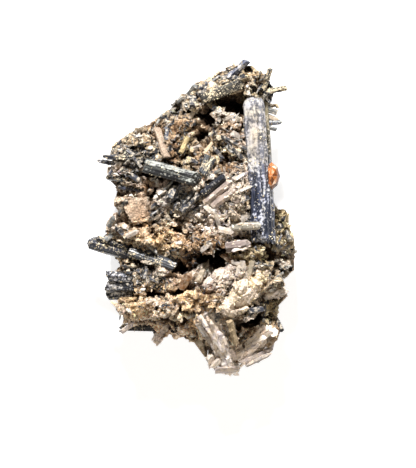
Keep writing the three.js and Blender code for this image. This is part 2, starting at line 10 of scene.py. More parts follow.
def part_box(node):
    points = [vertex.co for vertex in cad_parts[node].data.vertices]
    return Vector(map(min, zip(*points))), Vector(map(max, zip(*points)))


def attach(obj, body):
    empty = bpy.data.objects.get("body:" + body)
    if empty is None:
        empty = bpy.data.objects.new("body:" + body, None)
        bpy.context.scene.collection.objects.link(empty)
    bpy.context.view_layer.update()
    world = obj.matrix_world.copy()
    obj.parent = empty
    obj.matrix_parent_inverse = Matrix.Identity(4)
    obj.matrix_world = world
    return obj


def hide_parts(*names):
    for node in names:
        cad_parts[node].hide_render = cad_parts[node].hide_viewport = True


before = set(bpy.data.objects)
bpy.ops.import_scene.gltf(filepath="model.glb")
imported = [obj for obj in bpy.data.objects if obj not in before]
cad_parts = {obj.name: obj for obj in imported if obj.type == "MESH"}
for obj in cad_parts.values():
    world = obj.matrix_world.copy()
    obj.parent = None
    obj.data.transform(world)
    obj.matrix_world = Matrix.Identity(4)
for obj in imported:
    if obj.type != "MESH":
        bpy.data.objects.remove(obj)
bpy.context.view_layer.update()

# ---------------------------------------------------------------- the lump
# Crumbly matrix of feldspar, quartz, mica and dried ochre clay, broken from the rock, so its back is rough
# with flat lands. Its face is split into blocks by crevices, and the crystals sit in it.
MM = 0.001  # everything below is written in millimetres
MERGE_DISTANCE = 0.001
CORE_VOXEL = 0.7
BODY_VOXEL = 0.45
FACE_SHARE = 0.62  # of the even faces that is left once the under side is thinned out
CHUNK_COUNT = 950
CHUNK_SIZE = (0.6, 2.0)  # half of a chunk's length
FACE_SIZES = (4.2, 1.25)  # across the broken faces of the earth
SHARD_LENGTH = 2.6  # of the smaller faces, in their own widths
BORDER_RAGGED = 0.9
BORDER_DEPTH = 0.7
PIT_SIZE = 2.8
PIT_DEPTH = 1.2
CAVITY_SHARE = 1.4  # of the listed depth
RIM_RAGGED = 1.3  # how far the rims of the cavities stray
CAVITY_FLOOR = 6  # the height from which they are cut in, and over which they reach their full depth
LEAST_THICK = 3  # of the lump under a cavity
BLOCK_LEAN = 0.2
UNSEEN_HEIGHT = 9  # below which the faces are thinned out
CLAY_HEIGHT = 14  # above which the clay patch is smooth
CLOSE_STEPS, FAR_STEPS = 5, 16  # along the mesh, for the shade of what lies low
SUNK_SHADE = 0.5  # how much darker a place is for each millimetre it lies below what is around it
REACH_MARGIN = 0.3  # the crust stops this far inside the solid's box
REACH_RAGGED = 2.2  # how far it may jut beyond the outline
REACH_PULL = 0.85
BURIED = 0.7  # how far below a crystal's upper side the crust stays
RELIEF_LIMIT = 2.4  # beyond which the broken faces rise and sink no further
BESIDE_CELLS = 3  # of the grid: how wide the strip beside a crystal is in which the crust stays low
BESIDE_RISE = 0.25
CLAY_PATCH = (-19.3, 3.2, 5.2, 3.4, 25)  # x, y, half sizes and turn of the smooth clay patch
SOFT_PATCHES = (  # x, y, half sizes, turn of the softer earth, pitted rather than split
    (-12, -31, 12, 7.5, -12),
    (-10, -7, 12, 4, -10),
    (2, -37, 7, 6, 40),
)
# What the blocks are made of: colour, share of black tourmaline bits, share of white bits.
CREAM = ((0.72, 0.61, 0.45), 0.14, 0.14)
STRAW = ((0.75, 0.63, 0.43), 0.10, 0.12)
GOLDEN = ((0.80, 0.57, 0.33), 0.01, 0.08)
PEACH = ((0.63, 0.50, 0.39), 0.02, 0.05)
TAN = ((0.72, 0.54, 0.37), 0.03, 0.10)
PINK = ((0.68, 0.55, 0.46), 0.03, 0.22)
PALE = ((0.72, 0.63, 0.54), 0.06, 0.26)
WHITE = ((0.80, 0.75, 0.70), 0.04, 0.40)
SUGAR = ((0.84, 0.73, 0.62), 0.02, 0.36)
GLASSY = ((0.82, 0.71, 0.61), 0.0, 0.3)
GREY = ((0.38, 0.35, 0.30), 0.25, 0.15)
SLATE = ((0.22, 0.23, 0.25), 0.40, 0.14)
SMOKE = ((0.58, 0.50, 0.46), 0.05, 0.24)
BROWN = ((0.36, 0.23, 0.13), 0.10, 0.08)
OLIVE = ((0.56, 0.47, 0.29), 0.08, 0.08)
SHADE = ((0.42, 0.36, 0.24), 0.14, 0.10)
BLOCKS = (  # x, y, half sizes, turn in degrees, what it is
    (-25.5, 24, 2.8, 2.1, 25, CREAM),
    (-21.5, 26, 2.1, 1.8, 10, CREAM),
    (-15, 24.5, 3.2, 2.1, 5, CREAM),
    (-22.5, 22, 2.8, 1.4, -10, GREY),
    (-12, 32, 2.1, 2.1, 20, BROWN),
    (-8, 34.5, 3.2, 1.4, 8, CREAM),
    (-2.5, 39.5, 2.8, 2.1, 10, CREAM),
    (-5.5, 39.5, 2.1, 1.4, 35, SLATE),
    (-4, 31, 3.2, 2.4, 80, BROWN),
    (1, 31.5, 3.2, 1.4, -5, TAN),
    (-1.5, 28, 2.8, 1, 105, CREAM),
    (-2, 23, 3.5, 1.8, 100, OLIVE),
    (-17, 19.5, 2.1, 1.8, 0, GREY),
    (-14, 21.5, 3.2, 1.4, 10, CREAM),
    (-5.5, 23, 3.2, 2.1, 75, BROWN),
    (4.5, 43.5, 3.2, 2.4, 35, CREAM),
    (10.5, 48.5, 3.2, 2.4, 35, CREAM),
    (14.5, 51, 3.2, 2.1, 30, CREAM),
    (19.5, 49.5, 4.2, 2.8, -10, STRAW),
    (23.5, 49, 2.4, 2.1, 50, STRAW),
    (10, 34, 3.5, 1.8, 10, PALE),
    (14.5, 33.5, 1.8, 1.4, 0, WHITE),
    (13.5, 31, 3.2, 1.8, 25, TAN),
    (14.5, 27.5, 3.2, 1.8, -5, PINK),
    (9, 26.5, 2.8, 1.8, 80, CREAM),
    (9, 22, 3.5, 2.8, 0, STRAW),
    (5, 21, 2.8, 2.4, 20, TAN),
    (23, 42.5, 3.2, 2.1, 90, STRAW),
    (19.5, 46, 3.8, 1.4, 5, PALE),
    (25.5, 44.5, 3.2, 1.8, 100, SLATE),
    (7.5, 41.5, 3.5, 1, 8, STRAW),
    (-25.5, 16, 2.4, 1.8, -20, PALE),
    (-21, 16, 2.8, 1.8, -10, GREY),
    (-18.5, 12.5, 3.2, 1.8, 80, PALE),
    (-15.5, 10.5, 2.1, 1.8, 20, BROWN),
    (-10, 11, 2.1, 1.8, 70, PINK),
    (-10.5, 7.5, 2.1, 1.8, 0, WHITE),
    (-6.5, 8, 2.4, 2.4, 0, SLATE),
    (-19, 3, 5.2, 3.8, 25, PEACH),
    (-25, -3, 3.5, 2.4, -65, PALE),
    (-18, -3.5, 3.8, 1.8, 25, TAN),
    (-10.5, 3.5, 3.2, 2.1, -15, PALE),
    (-12.5, 0, 2.1, 1.4, 90, GREY),
    (-5, 0.5, 2.8, 1.8, 0, CREAM),
    (-2.5, 3, 2.1, 2.1, 40, SLATE),
    (0.5, 1, 2.8, 1.4, 20, WHITE),
    (-1.5, -3, 3.2, 1.4, -10, PALE),
    (-18, -7.5, 2.8, 1.4, 30, TAN),
    (-9, -8.5, 4.2, 2.1, 10, GOLDEN),
    (-14.5, -11, 4.6, 1, -8, CREAM),
    (-4, -9.5, 3.5, 2.4, -10, TAN),
    (-23.5, -10.5, 3.2, 2.1, -15, CREAM),
    (-6, -14, 2.1, 1.8, 0, CREAM),
    (-0.5, -14.5, 2.4, 2.4, 0, BROWN),
    (3, -7.5, 2.8, 1.8, 0, BROWN),
    (13, 16, 2.8, 1.8, -10, BROWN),
    (17, 13.5, 3.2, 2.1, 0, SUGAR),
    (17, 9, 3.5, 2.4, 10, SUGAR),
    (12, 6, 2.1, 1.4, -10, SUGAR),
    (16.5, 4.5, 3.8, 2.4, 0, STRAW),
    (4, 4, 3.2, 1, 32, CREAM),
    (7, 2, 2.1, 2.1, 0, SUGAR),
    (17, 0.5, 2.8, 2.1, 10, SUGAR),
    (14.5, -1.5, 2.8, 1.4, 0, STRAW),
    (8.5, -1.5, 3.2, 2.8, 0, SUGAR),
    (11, -4.5, 3.8, 1.4, -15, SUGAR),
    (3, -4, 2.8, 1.8, -20, TAN),
    (6.5, -8.9, 4.6, 1.8, -8, BROWN),
    (1.5, -10.5, 2.1, 2.1, 0, BROWN),
    (17, -14.5, 3.8, 2.1, -5, OLIVE),
    (23, -13.5, 2.8, 2.8, -45, OLIVE),
    (28.5, -12.5, 3.2, 2.4, -30, SHADE),
    (33.5, -9.5, 4.2, 2.4, 80, STRAW),
    (32, -4, 3.2, 2.1, -20, OLIVE),
    (32, -14.5, 3.2, 2.4, -25, PALE),
    (32, -8.5, 2.8, 2.1, 90, OLIVE),
    (-21.5, -20, 2.8, 2.1, 30, CREAM),
    (-16, -21, 3.5, 2.8, 70, GREY),
    (-10.5, -20, 3.8, 1.8, -10, PALE),
    (-12, -24, 3.2, 2.1, 10, CREAM),
    (-7.5, -22.5, 2.6, 2.2, 80, TAN),
    (-21.5, -26.5, 3.8, 2.4, -5, GOLDEN),
    (-17.5, -28, 2.4, 2.4, 0, TAN),
    (-19.5, -32, 4.6, 2.8, -10, GOLDEN),
    (-24, -33, 2.4, 2.1, -60, PALE),
    (-11, -32.5, 4.9, 2.4, -5, PALE),
    (-0.5, -30.5, 3.8, 2.8, 25, GOLDEN),
    (-4.5, -34.5, 2.4, 2.4, 0, CREAM),
    (-14.5, -36.5, 4.6, 2.1, 10, PALE),
    (2, -37, 3.5, 2.8, 40, GOLDEN),
    (-9.5, -39, 3.5, 1.4, -5, TAN),
    (-3.5, -40, 4.6, 1.4, 0, PALE),
    (3, -43.5, 3.5, 2.4, -30, CREAM),
    (4, -20.5, 3.2, 1.8, 65, WHITE),
    (12.5, -21.5, 2.8, 2.8, 0, SMOKE),
    (16.5, -20.5, 2.8, 1.8, 80, SMOKE),
    (16, -18, 4.2, 1.4, 0, CREAM),
    (21.5, -23.5, 3.5, 3.2, 0, GOLDEN),
    (28.5, -23.5, 3.2, 3.2, -10, CREAM),
    (23.5, -19.5, 3.2, 1.8, 0, PALE),
    (10, -26, 2.8, 2.1, 0, TAN),
    (11, -28.5, 3.8, 1, 5, STRAW),
    (4.5, -27, 2.4, 2.1, 90, BROWN),
    (19.5, -29.5, 4.9, 3.5, 30, GLASSY),
    (14.5, -31, 4.6, 3.5, 70, GLASSY),
    (18, -32.2, 5, 1.8, 22, STRAW),
    (4.5, -9.8, 3, 1, -8, BROWN),
    (8.5, -31, 3.2, 2.4, 0, GOLDEN),
    (3, -34.5, 2.4, 2.4, 0, TAN),
    (6, -38, 4.2, 2.8, 80, GLASSY),
    (27.5, -31.5, 3.5, 2.4, 80, OLIVE),
    (32, -27.5, 2.4, 1.8, 0, GLASSY),
    (18, -42.5, 3.5, 2.4, -15, TAN),
    (11, -45, 3.5, 2.4, -30, STRAW),
    (13.5, -49, 3.5, 2.8, 0, GLASSY),
    (18, -47, 3.5, 2.4, 0, GLASSY),
    (29.5, -42, 2, 1.4, 60, TAN),
    (7.5, -50.5, 2.8, 1.4, 15, CREAM),
    (12, -54, 3.8, 1.4, 8, GLASSY),
    (31.5, -39, 1.8, 1.4, 90, BROWN),
    (25, -16, 2.8, 2.1, -30, OLIVE),
    (33, -0.5, 2.8, 1.4, 25, OLIVE),
    (21, -19, 2.8, 1.4, 0, PALE),
)
CAVITIES = (  # x, y, half sizes, turn in degrees, depth
    (20.5, 42.5, 3.2, 1.8, 10, 3),
    (13, 40.5, 5.5, 2.4, 25, 8),
    (11, 38.9, 7.5, 2.4, 8, 9),
    (16.5, 36.5, 3.8, 2.4, 60, 9),
    (5, 35, 5, 2.1, -10, 7),
    (6.5, 38.5, 4.5, 2, -15, 7),
    (9.5, 36.8, 4, 1.4, -10, 6),
    (4, -8.5, 4, 0.8, 10, 5),
    (10, -10.5, 5, 1.0, -5, 7),
    (7.5, 32, 3.2, 1.4, 0, 4),
    (-2.5, 36.5, 4.2, 1.4, 0, 5),
    (-2.4, 29.8, 1.8, 1.6, 0, 5),
    (10.5, 34.3, 2.4, 1.2, 0, 6),
    (13, 15.8, 1.8, 1.6, 0, 4),
    (-15, 28.5, 2.8, 1.8, 15, 3),
    (3.2, 28.7, 3.8, 1.6, 0, 7),
    (4, 26.5, 3.2, 1.4, 20, 4),
    (-1.5, 22.5, 3.2, 1.8, 90, 3),
    (-6.5, 25, 1.8, 1.4, 0, 4),
    (-0.5, 18, 1.4, 1, 0, 2),
    (11, 19.5, 3.2, 2.1, -30, 6),
    (18, 17, 2.1, 1.4, 0, 3),
    (-13.5, 13.5, 4.2, 1.8, -15, 3),
    (-13.5, 8.5, 2.4, 2.1, 0, 3),
    (-4, 11, 4.9, 1.4, -18, 2),
    (-13.5, 3, 2.4, 1, 90, 2),
    (-10, 0.5, 2.1, 1.4, 90, 2),
    (-6.5, 5.5, 2.1, 1, 0, 2),
    (-19, -2.5, 3.8, 1, 22, 3),
    (-4, -2, 4.9, 1, -12, 3),
    (-9, -1.5, 1.4, 1.4, 0, 2),
    (-13.5, -6.5, 2.1, 1.8, 90, 2),
    (-3, -5, 4.9, 1, -15, 3),
    (2.5, -6, 3.5, 1, 5, 3),
    (10.5, -7.6, 7.5, 1.3, -3, 7),
    (11.5, -1.5, 1.4, 0.7, 0, 2),
    (6.5, -14.8, 6.4, 2.7, 0, 9),
    (-0.5, -18, 4.9, 1.8, -25, 7),
    (9, -12.5, 3.2, 1.4, 0, 7),
    (-3, -19.5, 3.5, 1.4, -20, 7),
    (-12.2, -27.6, 3.6, 2.2, 8, 8),
    (-3.8, -26.4, 4.4, 1.8, -5, 9),
    (-1.7, -33.2, 3.0, 1.4, 15, 7),
    (-4.5, -36.6, 3.4, 1.1, 25, 5),
    (-0.5, -36, 3.2, 1.4, 25, 3),
    (-8, -36.5, 4.9, 1, 5, 3),
    (-20.5, -22.5, 2.1, 0.7, 0, 2),
    (-20.5, -28, 1.4, 1, 0, 2),
    (-22.5, -32, 1.8, 0.7, -20, 2),
    (-16, -24, 2.4, 1, 90, 2),
    (3.5, -24, 2.1, 1, -20, 2),
    (6.5, -26, 1.8, 1, 0, 2),
    (13.5, -25, 3.2, 1.4, 30, 3),
    (14.5, -35, 1.8, 1, 0, 2),
    (9, -35, 1.8, 1.4, 90, 2),
    (19.5, -37.5, 4.9, 2.3, 15, 9),
    (23, -36, 3.4, 2.6, 30, 9),
    (13.5, -44.5, 2.4, 1.8, -40, 3),
    (9.5, -29.5, 1.8, 0.7, 0, 2),
    (4, -32, 2.1, 1, 10, 2),
    (27, -29.5, 2.1, 1.4, 40, 3),
    (27, -33.5, 3.2, 2.4, 90, 3),
    (30.5, -29.5, 2.1, 1, 20, 3),
    (28.5, -16, 3.2, 1.8, -20, 3),
    (25, -12, 3.2, 1.4, -40, 3),
    (30, -11.5, 1.8, 1.4, 0, 3),
    (-26, -16, 2.8, 1, -30, 3),
    (-18, -16, 5.6, 0.7, -5, 3),
    (-19, 13.5, 2.8, 1, -5, 2),
    (-21.5, 10, 2.4, 1, -15, 2),
    (12.5, 21.5, 1.8, 1.4, 0, 2),
    (3, 16, 1.8, 1, 0, 2),
    (18, 21.5, 1.8, 1.4, -40, 2),
    (22.5, -16, 2.8, 1, 90, 1),
    (-1, 41.5, 1.8, 0.7, 10, 2),
)
dice = np.random.default_rng(7)
noise.seed_set(7)  # the direction noise would otherwise start from the clock


def distances(places, feature, grow=1.0):
    """How far places are from the middle of a feature, seen from above, in its own half sizes."""
    x, y, rx, ry, turn = feature[:5]
    c, s = math.cos(math.radians(turn)), math.sin(math.radians(turn))
    u = ((places[:, 0] - x) * c + (places[:, 1] - y) * s) / (rx * grow)
    v = ((places[:, 1] - y) * c - (places[:, 0] - x) * s) / (ry * grow)
    return np.hypot(u, v)


def in_patches(places, patches, start=2.2, fall=1.6):
    """1 in the middle of each patch, 0 away from all of them. The smaller fall is, the softer the rims."""
    return np.max([np.clip(start - fall * distances(places, patch), 0, 1) for patch in patches], axis=0)


def at_each(places, value_at):
    """What a function of one place gives at each of them."""
    return np.array([value_at(Vector(place)) for place in places])


def cavity_depth(places):
    """Depth of the cavities under some places, seen from above. Their rims are ragged."""
    moved = places + at_each(places, lambda p: noise.noise_vector(p * 0.35)) * RIM_RAGGED
    most = np.zeros(len(places))
    for cavity in CAVITIES:
        most = np.maximum(most, CAVITY_SHARE * cavity[5] * in_patches(moved, [cavity], 2.6, 2.2))
    return most


def on_clay(places):
    """1 on the smooth clay patch, 0 away from it."""
    return in_patches(places, [CLAY_PATCH], 2.8, 2)


def in_soft_earth(places):
    """1 in the middle of the softer golden earth, 0 away from it."""
    return in_patches(places, SOFT_PATCHES)


def copy_of(node, name):
    """A merged copy of a CAD node's mesh, as an object of its own."""
    mesh = bpy.data.meshes.new(name)
    shape = bmesh.new()
    shape.from_mesh(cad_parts[node].data)
    bmesh.ops.remove_doubles(shape, verts=shape.verts, dist=MERGE_DISTANCE * MM)
    shape.to_mesh(mesh)
    shape.free()
    piece = bpy.data.objects.new(name, mesh)
    bpy.context.scene.collection.objects.link(piece)
    return piece


def evenly_meshed(piece, voxel):
    """The piece's mesh made again, fused, of faces of one even size."""
    remesh = piece.modifiers.new("even", "REMESH")
    remesh.mode = "VOXEL"
    remesh.voxel_size = voxel * MM
    apply_modifiers(piece)


def apply_modifiers(piece):
    """Replaces a piece's mesh with what its modifiers make of it."""
    bpy.context.view_layer.update()
    done = piece.evaluated_get(bpy.context.evaluated_depsgraph_get())
    mesh = bpy.data.meshes.new_from_object(done)
    piece.modifiers.clear()
    old, piece.data = piece.data, mesh
    bpy.data.meshes.remove(old)


def corners_of(mesh):
    """Places of a mesh's corners in millimetres."""
    flat = np.empty(len(mesh.vertices) * 3, np.float32)
    mesh.vertices.foreach_get("co", flat)
    return flat.reshape(-1, 3).astype(float) / MM


def normals_of(mesh):
    """Normals at a mesh's corners."""
    flat = np.empty(len(mesh.vertices) * 3, np.float32)
    mesh.vertex_normals.foreach_get("vector", flat)
    return flat.reshape(-1, 3).astype(float)


def move_corners(mesh, places):
    """Puts a mesh's corners at places in millimetres."""
    mesh.vertices.foreach_set("co", (places * MM).astype(np.float32).ravel())
    mesh.update()


def fragment(seed, stretch, points=14):
    """An angular fragment about 1 mm in radius: the hull of a few points on a stretched ball."""
    own = np.random.default_rng(seed)
    spread = own.normal(0, 1, (points, 3))
    spread *= own.uniform(0.8, 1.05, (points, 1)) / np.linalg.norm(spread, axis=1, keepdims=True)
    return hull_of(spread * stretch)


def cleaved_block(seed, half):
    """A block with flat, unevenly split faces: the hull of the displaced corners of a box."""
    own = np.random.default_rng(seed)
    signs = np.array([(x, y, z) for x in (-1, 1) for y in (-1, 1) for z in (-1, 1)], float)
    spread = signs * own.uniform(0.55, 1.05, (8, 3))
    return hull_of(np.concatenate([spread, own.uniform(-0.9, 0.9, (3, 3))]) * half)


def hull_of(spread):
    """Corners and triangles of the tightest skin around some places."""
    shape = bmesh.new()
    for place in spread:
        shape.verts.new(place)
    hull = bmesh.ops.convex_hull(shape, input=shape.verts)
    loose = set(hull["geom_interior"]) | set(hull["geom_unused"])
    bmesh.ops.delete(shape, geom=list(loose), context="VERTS")
    bmesh.ops.recalc_face_normals(shape, faces=shape.faces)
    return seed_of(shape)


def seed_of(shape):
    """Corners and triangles of a small shape that is repeated many times."""
    bmesh.ops.triangulate(shape, faces=shape.faces)
    shape.verts.index_update()
    places = np.array([corner.co for corner in shape.verts])
    faces = np.array([[corner.index for corner in face.verts] for face in shape.faces])
    shape.free()
    return places, faces


def frames_along(directions, spins):
    """Rotation matrices that turn +Z to each direction, after a spin about it."""
    directions = directions / np.linalg.norm(directions, axis=1, keepdims=True)
    side = np.where(np.abs(directions[:, 2:]) > 0.9, [[1.0, 0, 0]], [[0, 0, 1.0]])
    first = np.cross(side, directions)
    first /= np.linalg.norm(first, axis=1, keepdims=True)
    second = np.cross(directions, first)
    c, s = np.cos(spins)[:, None], np.sin(spins)[:, None]
    return np.stack([first * c + second * s, second * c - first * s, directions], axis=2)


def paint(mesh, name, colours):
    """Stores one colour for each corner of a mesh."""
    layer = mesh.attributes.new(name, "FLOAT_COLOR", "POINT")
    rgba = np.ones((len(mesh.vertices), 4), np.float32)
    rgba[:, :3] = colours
    layer.data.foreach_set("color", rgba.ravel())


def strewn(name, seeds, kinds, places, turns, sizes, colours=None, shading=None):
    """One mesh of many small stones. Each is a seed shape, scaled, turned and put in its place. The shading
    adds painted shade: it changes the colours by where each corner has come to lie."""
    corners, faces, tones, count = [], [], [], 0
    for kind, (shape, triangles) in enumerate(seeds):
        chosen = kinds == kind
        number = int(chosen.sum())
        if not number:
            continue
        laid = np.einsum("nij,nkj->nki", turns[chosen], shape[None] * sizes[chosen][:, None])
        corners.append((laid + places[chosen][:, None]).reshape(-1, 3))
        steps = count + np.arange(number)[:, None, None] * len(shape)
        faces.append((triangles[None] + steps).reshape(-1, 3))
        if colours is not None:
            tones.append(np.repeat(colours[chosen], len(shape), axis=0))
        count += number * len(shape)
    corners, faces = np.concatenate(corners), np.concatenate(faces)
    mesh = bpy.data.meshes.new(name)
    mesh.vertices.add(len(corners))
    mesh.loops.add(faces.size)
    mesh.polygons.add(len(faces))
    mesh.vertices.foreach_set("co", (corners * MM).astype(np.float32).ravel())
    mesh.loops.foreach_set("vertex_index", faces.astype(np.int32).ravel())
    mesh.polygons.foreach_set("loop_start", np.arange(0, faces.size, 3, dtype=np.int32))
    mesh.update(calc_edges=True)
    mesh.shade_flat()
    if colours is not None:
        tones = np.concatenate(tones)
        paint(mesh, "tint", shading(corners, tones) if shading else tones)
    piece = bpy.data.objects.new(name, mesh)
    bpy.context.scene.collection.objects.link(piece)
    return piece


def sizes_between(span, count, skew):
    """Random sizes between two. The higher skew is, the fewer of them are large."""
    return span[0] + (span[1] - span[0]) * dice.random(count) ** skew


def picked_from(tones, count):
    """For each of count pieces, one of a few colours."""
    return np.array(tones)[dice.integers(0, len(tones), count)]


def spots_on(mesh, count, weigh):
    """Random spots on a mesh, and their normals. weigh gives each face's share from its centre and normal."""
    mesh.calc_loop_triangles()
    flat = np.empty(len(mesh.loop_triangles) * 3, np.int32)
    mesh.loop_triangles.foreach_get("vertices", flat)
    triangles = corners_of(mesh)[flat.reshape(-1, 3)]
    across = np.cross(triangles[:, 1] - triangles[:, 0], triangles[:, 2] - triangles[:, 0])
    area = np.linalg.norm(across, axis=1) + 1e-12
    facing = across / area[:, None]
    share = area * weigh(triangles.mean(1), facing)
    chosen = dice.choice(len(area), count, p=share / share.sum())
    u, v = dice.random((2, count))
    over = u + v > 1
    u[over], v[over] = 1 - u[over], 1 - v[over]
    a, b, c = triangles[chosen].transpose(1, 0, 2)
    return a + u[:, None] * (b - a) + v[:, None] * (c - a), facing[chosen]


def fuse(piece, others):
    """Adds the other objects' meshes to a piece and removes those objects."""
    both = bmesh.new()
    both.from_mesh(piece.data)
    for other in others:
        both.from_mesh(other.data)
        bpy.data.objects.remove(other)
    both.to_mesh(piece.data)
    both.free()


def broken_faces(spots, size):
    """Relief of tilted broken faces, how far a place is from their cracks, and a random triple for each face.
    The spots are written in units of size, the distance across a face."""
    rise, cracks = np.zeros((2, len(spots)))
    lots = np.zeros((len(spots), 3))
    for number, place in enumerate(spots):
        spot = Vector(place)
        apart, middles = noise.voronoi(spot)
        lot = noise.cell_vector(middles[0] * 9.7)
        tilt = lot - Vector((0.5, 0.5, 0.5))
        rise[number] = ((spot - middles[0]).dot(tilt) * 1.6 + tilt.z * 0.5) * size
        cracks[number] = apart[1] - apart[0]
        lots[number] = lot
    return rise, cracks, lots


def block_at(places):
    """Which of the blocks a place belongs to, and how far it is from the border with the next one."""
    moved = places + at_each(places, lambda p: noise.noise_vector(p * 0.6)) * BORDER_RAGGED
    which = np.zeros(len(places), int)
    nearest, second = np.full((2, len(places)), np.inf)
    for number, block in enumerate(BLOCKS):
        apart = distances(moved, block)
        closer = apart < nearest
        second = np.where(closer, nearest, np.minimum(second, apart))
        which[closer] = number
        nearest = np.minimum(nearest, apart)
    return which, second - nearest


def shard_spots(places, which, size):
    """Places in the own frames of their blocks, in units of size, and shortened along the grain."""
    rows = np.array([block[:5] for block in BLOCKS])[which]
    turn = np.radians(rows[:, 4] + 90 * (rows[:, 3] > rows[:, 2]))
    x, y = (places[:, :2] - rows[:, :2]).T
    along, across = x * np.cos(turn) + y * np.sin(turn), y * np.cos(turn) - x * np.sin(turn)
    return np.column_stack([along / SHARD_LENGTH, across, places[:, 2]]) / size + which[:, None] * 7.31


def grain_lie(places):
    """Direction in plan, in radians, in which the shards of the crust run: that of the nearby blocks."""
    twice = np.zeros((2, len(places)))
    for block in BLOCKS:
        near = np.exp(-distances(places, block, 1.6) ** 2) + 1e-9
        angle = 2 * math.radians(block[4] + (90 if block[3] > block[2] else 0))
        twice += np.outer((math.cos(angle), math.sin(angle)), near)
    return np.arctan2(twice[1], twice[0]) / 2


def sunkenness(mesh, places, normals, steps):
    """How far each corner lies below the mesh around it, smoothed over some steps: under 0 on what juts."""
    flat = np.empty(len(mesh.edges) * 2, np.int32)
    mesh.edges.foreach_get("vertices", flat)
    one, other = flat.reshape(-1, 2).T
    near, here = np.concatenate([one, other]), np.concatenate([other, one])
    number = np.maximum(np.bincount(here, minlength=len(places)), 1)
    smooth = places
    for _ in range(steps):
        sums = [np.bincount(here, weights=smooth[near, axis], minlength=len(places)) for axis in range(3)]
        smooth = 0.3 * smooth + 0.7 * np.column_stack(sums) / number[:, None]
    return ((smooth - places) * normals).sum(1)


GRID = 0.5  # a grid over the plan of the whole piece, to look up heights in
GRID_SIZE = (170, 240)
NEIGHBOURS = ((1, 0), (-1, 0), (1, 1), (-1, 1))  # step and axis
SKY_HEIGHT = 80


def cell_of(x, y):
    """Column and row of a place of the plan in a grid over the whole piece."""
    column = np.clip(((x / GRID) + GRID_SIZE[0] / 2).astype(int), 0, GRID_SIZE[0] - 1)
    row = np.clip(((y / GRID) + GRID_SIZE[1] / 2).astype(int), 0, GRID_SIZE[1] - 1)
    return column, row


def height_on(tree, x, y, guess=None):
    """Height at which some faces are met from straight above. Beside them it is that of the face nearest to
    the height guess, or 0 without one."""
    hit = tree.ray_cast(Vector((x, y, SKY_HEIGHT)) * MM, Vector((0, 0, -1)))[0]
    if hit is None and guess:
        hit = tree.find_nearest(Vector((x, y, guess)) * MM)[0]
    return hit.z / MM if hit else 0


def tops_of(names):
    """Height of some nodes over the grid, and 0 where there is none."""
    corners, faces = [], []
    for name in names:
        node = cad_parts[name]
        start = len(corners)
        corners += [corner.co.copy() for corner in node.data.vertices]
        faces += [[start + number for number in face.vertices] for face in node.data.polygons]
    solids = BVHTree.FromPolygons(corners, faces)
    tops = np.zeros(GRID_SIZE)
    for column, row in np.ndindex(*GRID_SIZE):
        x, y = (column + 0.5 - GRID_SIZE[0] / 2) * GRID, (row + 0.5 - GRID_SIZE[1] / 2) * GRID
        tops[column, row] = height_on(solids, x, y)
    return tops


def ways_back():
    """For each cell of the grid outside the solids' outline, the way back to it. It is 0 inside."""
    covered = tops_of(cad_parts) > 0
    inner = covered.copy()
    for step, axis in NEIGHBOURS:
        inner &= np.roll(covered, step, axis)
    edge = np.argwhere(covered & ~inner)
    back = np.zeros((*GRID_SIZE, 2))
    for column in range(GRID_SIZE[0]):
        rows = np.nonzero(~covered[column])[0]
        apart = edge[None] - np.column_stack([np.full(len(rows), column), rows])[:, None]
        nearest = np.hypot(*apart.transpose(2, 0, 1)).argmin(1)
        back[column, rows] = apart[np.arange(len(rows)), nearest] * GRID
    return back


WAY_BACK = ways_back()
CRYSTAL_TOPS = tops_of([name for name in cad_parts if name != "matrix"])
WELL_INSIDE = CRYSTAL_TOPS.copy()
for step, axis in NEIGHBOURS:
    WELL_INSIDE = np.minimum(WELL_INSIDE, np.roll(CRYSTAL_TOPS, step, axis))
BESIDE = CRYSTAL_TOPS.copy()
for _ in range(BESIDE_CELLS):
    for step, axis in NEIGHBOURS:
        BESIDE = np.maximum(BESIDE, np.roll(BESIDE, step, axis))


def stray(places):
    """How far places of the plan lie outside the solids' outline, and the way back."""
    back = WAY_BACK[cell_of(places[:, 0], places[:, 1])]
    return np.hypot(*back.T), back


def open_sky(places):
    """1 where no crystal lies over a place, else 0."""
    return (CRYSTAL_TOPS[cell_of(places[:, 0], places[:, 1])] == 0).astype(float)


def chunk_share(centre, facing):
    """Chunks lie outside the cavities, the clay and the soft earth, and not under a crystal."""
    calm = (1 - np.clip(cavity_depth(centre) / 2, 0, 1)) * (1 - 0.9 * on_clay(centre))
    calm = calm * (1 - 0.93 * in_soft_earth(centre))
    return (centre[:, 2] > 4) * calm * (facing[:, 2] > -0.5) * open_sky(centre)


body = copy_of("matrix", "matrix_lump")
evenly_meshed(body, CORE_VOXEL)
corners = corners_of(body.data)
surface = BVHTree.FromObject(body, bpy.context.evaluated_depsgraph_get())
inside = np.clip((corners[:, 2] - CAVITY_FLOOR) / CAVITY_FLOOR, 0, 1)
least = np.minimum(corners[:, 2], LEAST_THICK)
corners[:, 2] = np.maximum(corners[:, 2] - cavity_depth(corners) * inside, least)
move_corners(body.data, corners)

blocks = []
for number, (x, y, rx, ry, turn, kind) in enumerate(BLOCKS):
    thick = 0.7 * min(rx, ry) + 0.5
    if kind in (GOLDEN, TAN, PALE, CREAM) and in_soft_earth(np.array([[x, y]]))[0] > 0.6:
        continue
    height = height_on(surface, x, y, 22)
    shape, triangles = cleaved_block(200 + number, (rx * 1.1, ry * 1.1, thick * 1.15))
    lean = dice.normal(0, BLOCK_LEAN, 2)
    turned = frames_along(np.array([[lean[0], lean[1], 1.0]]), np.array([math.radians(turn)]))
    place = np.array([[x, y, height - 0.2 * thick]])
    lots = np.zeros(1, int)
    blocks.append(strewn("block", [(shape, triangles)], lots, place, turned, np.ones((1, 3))))

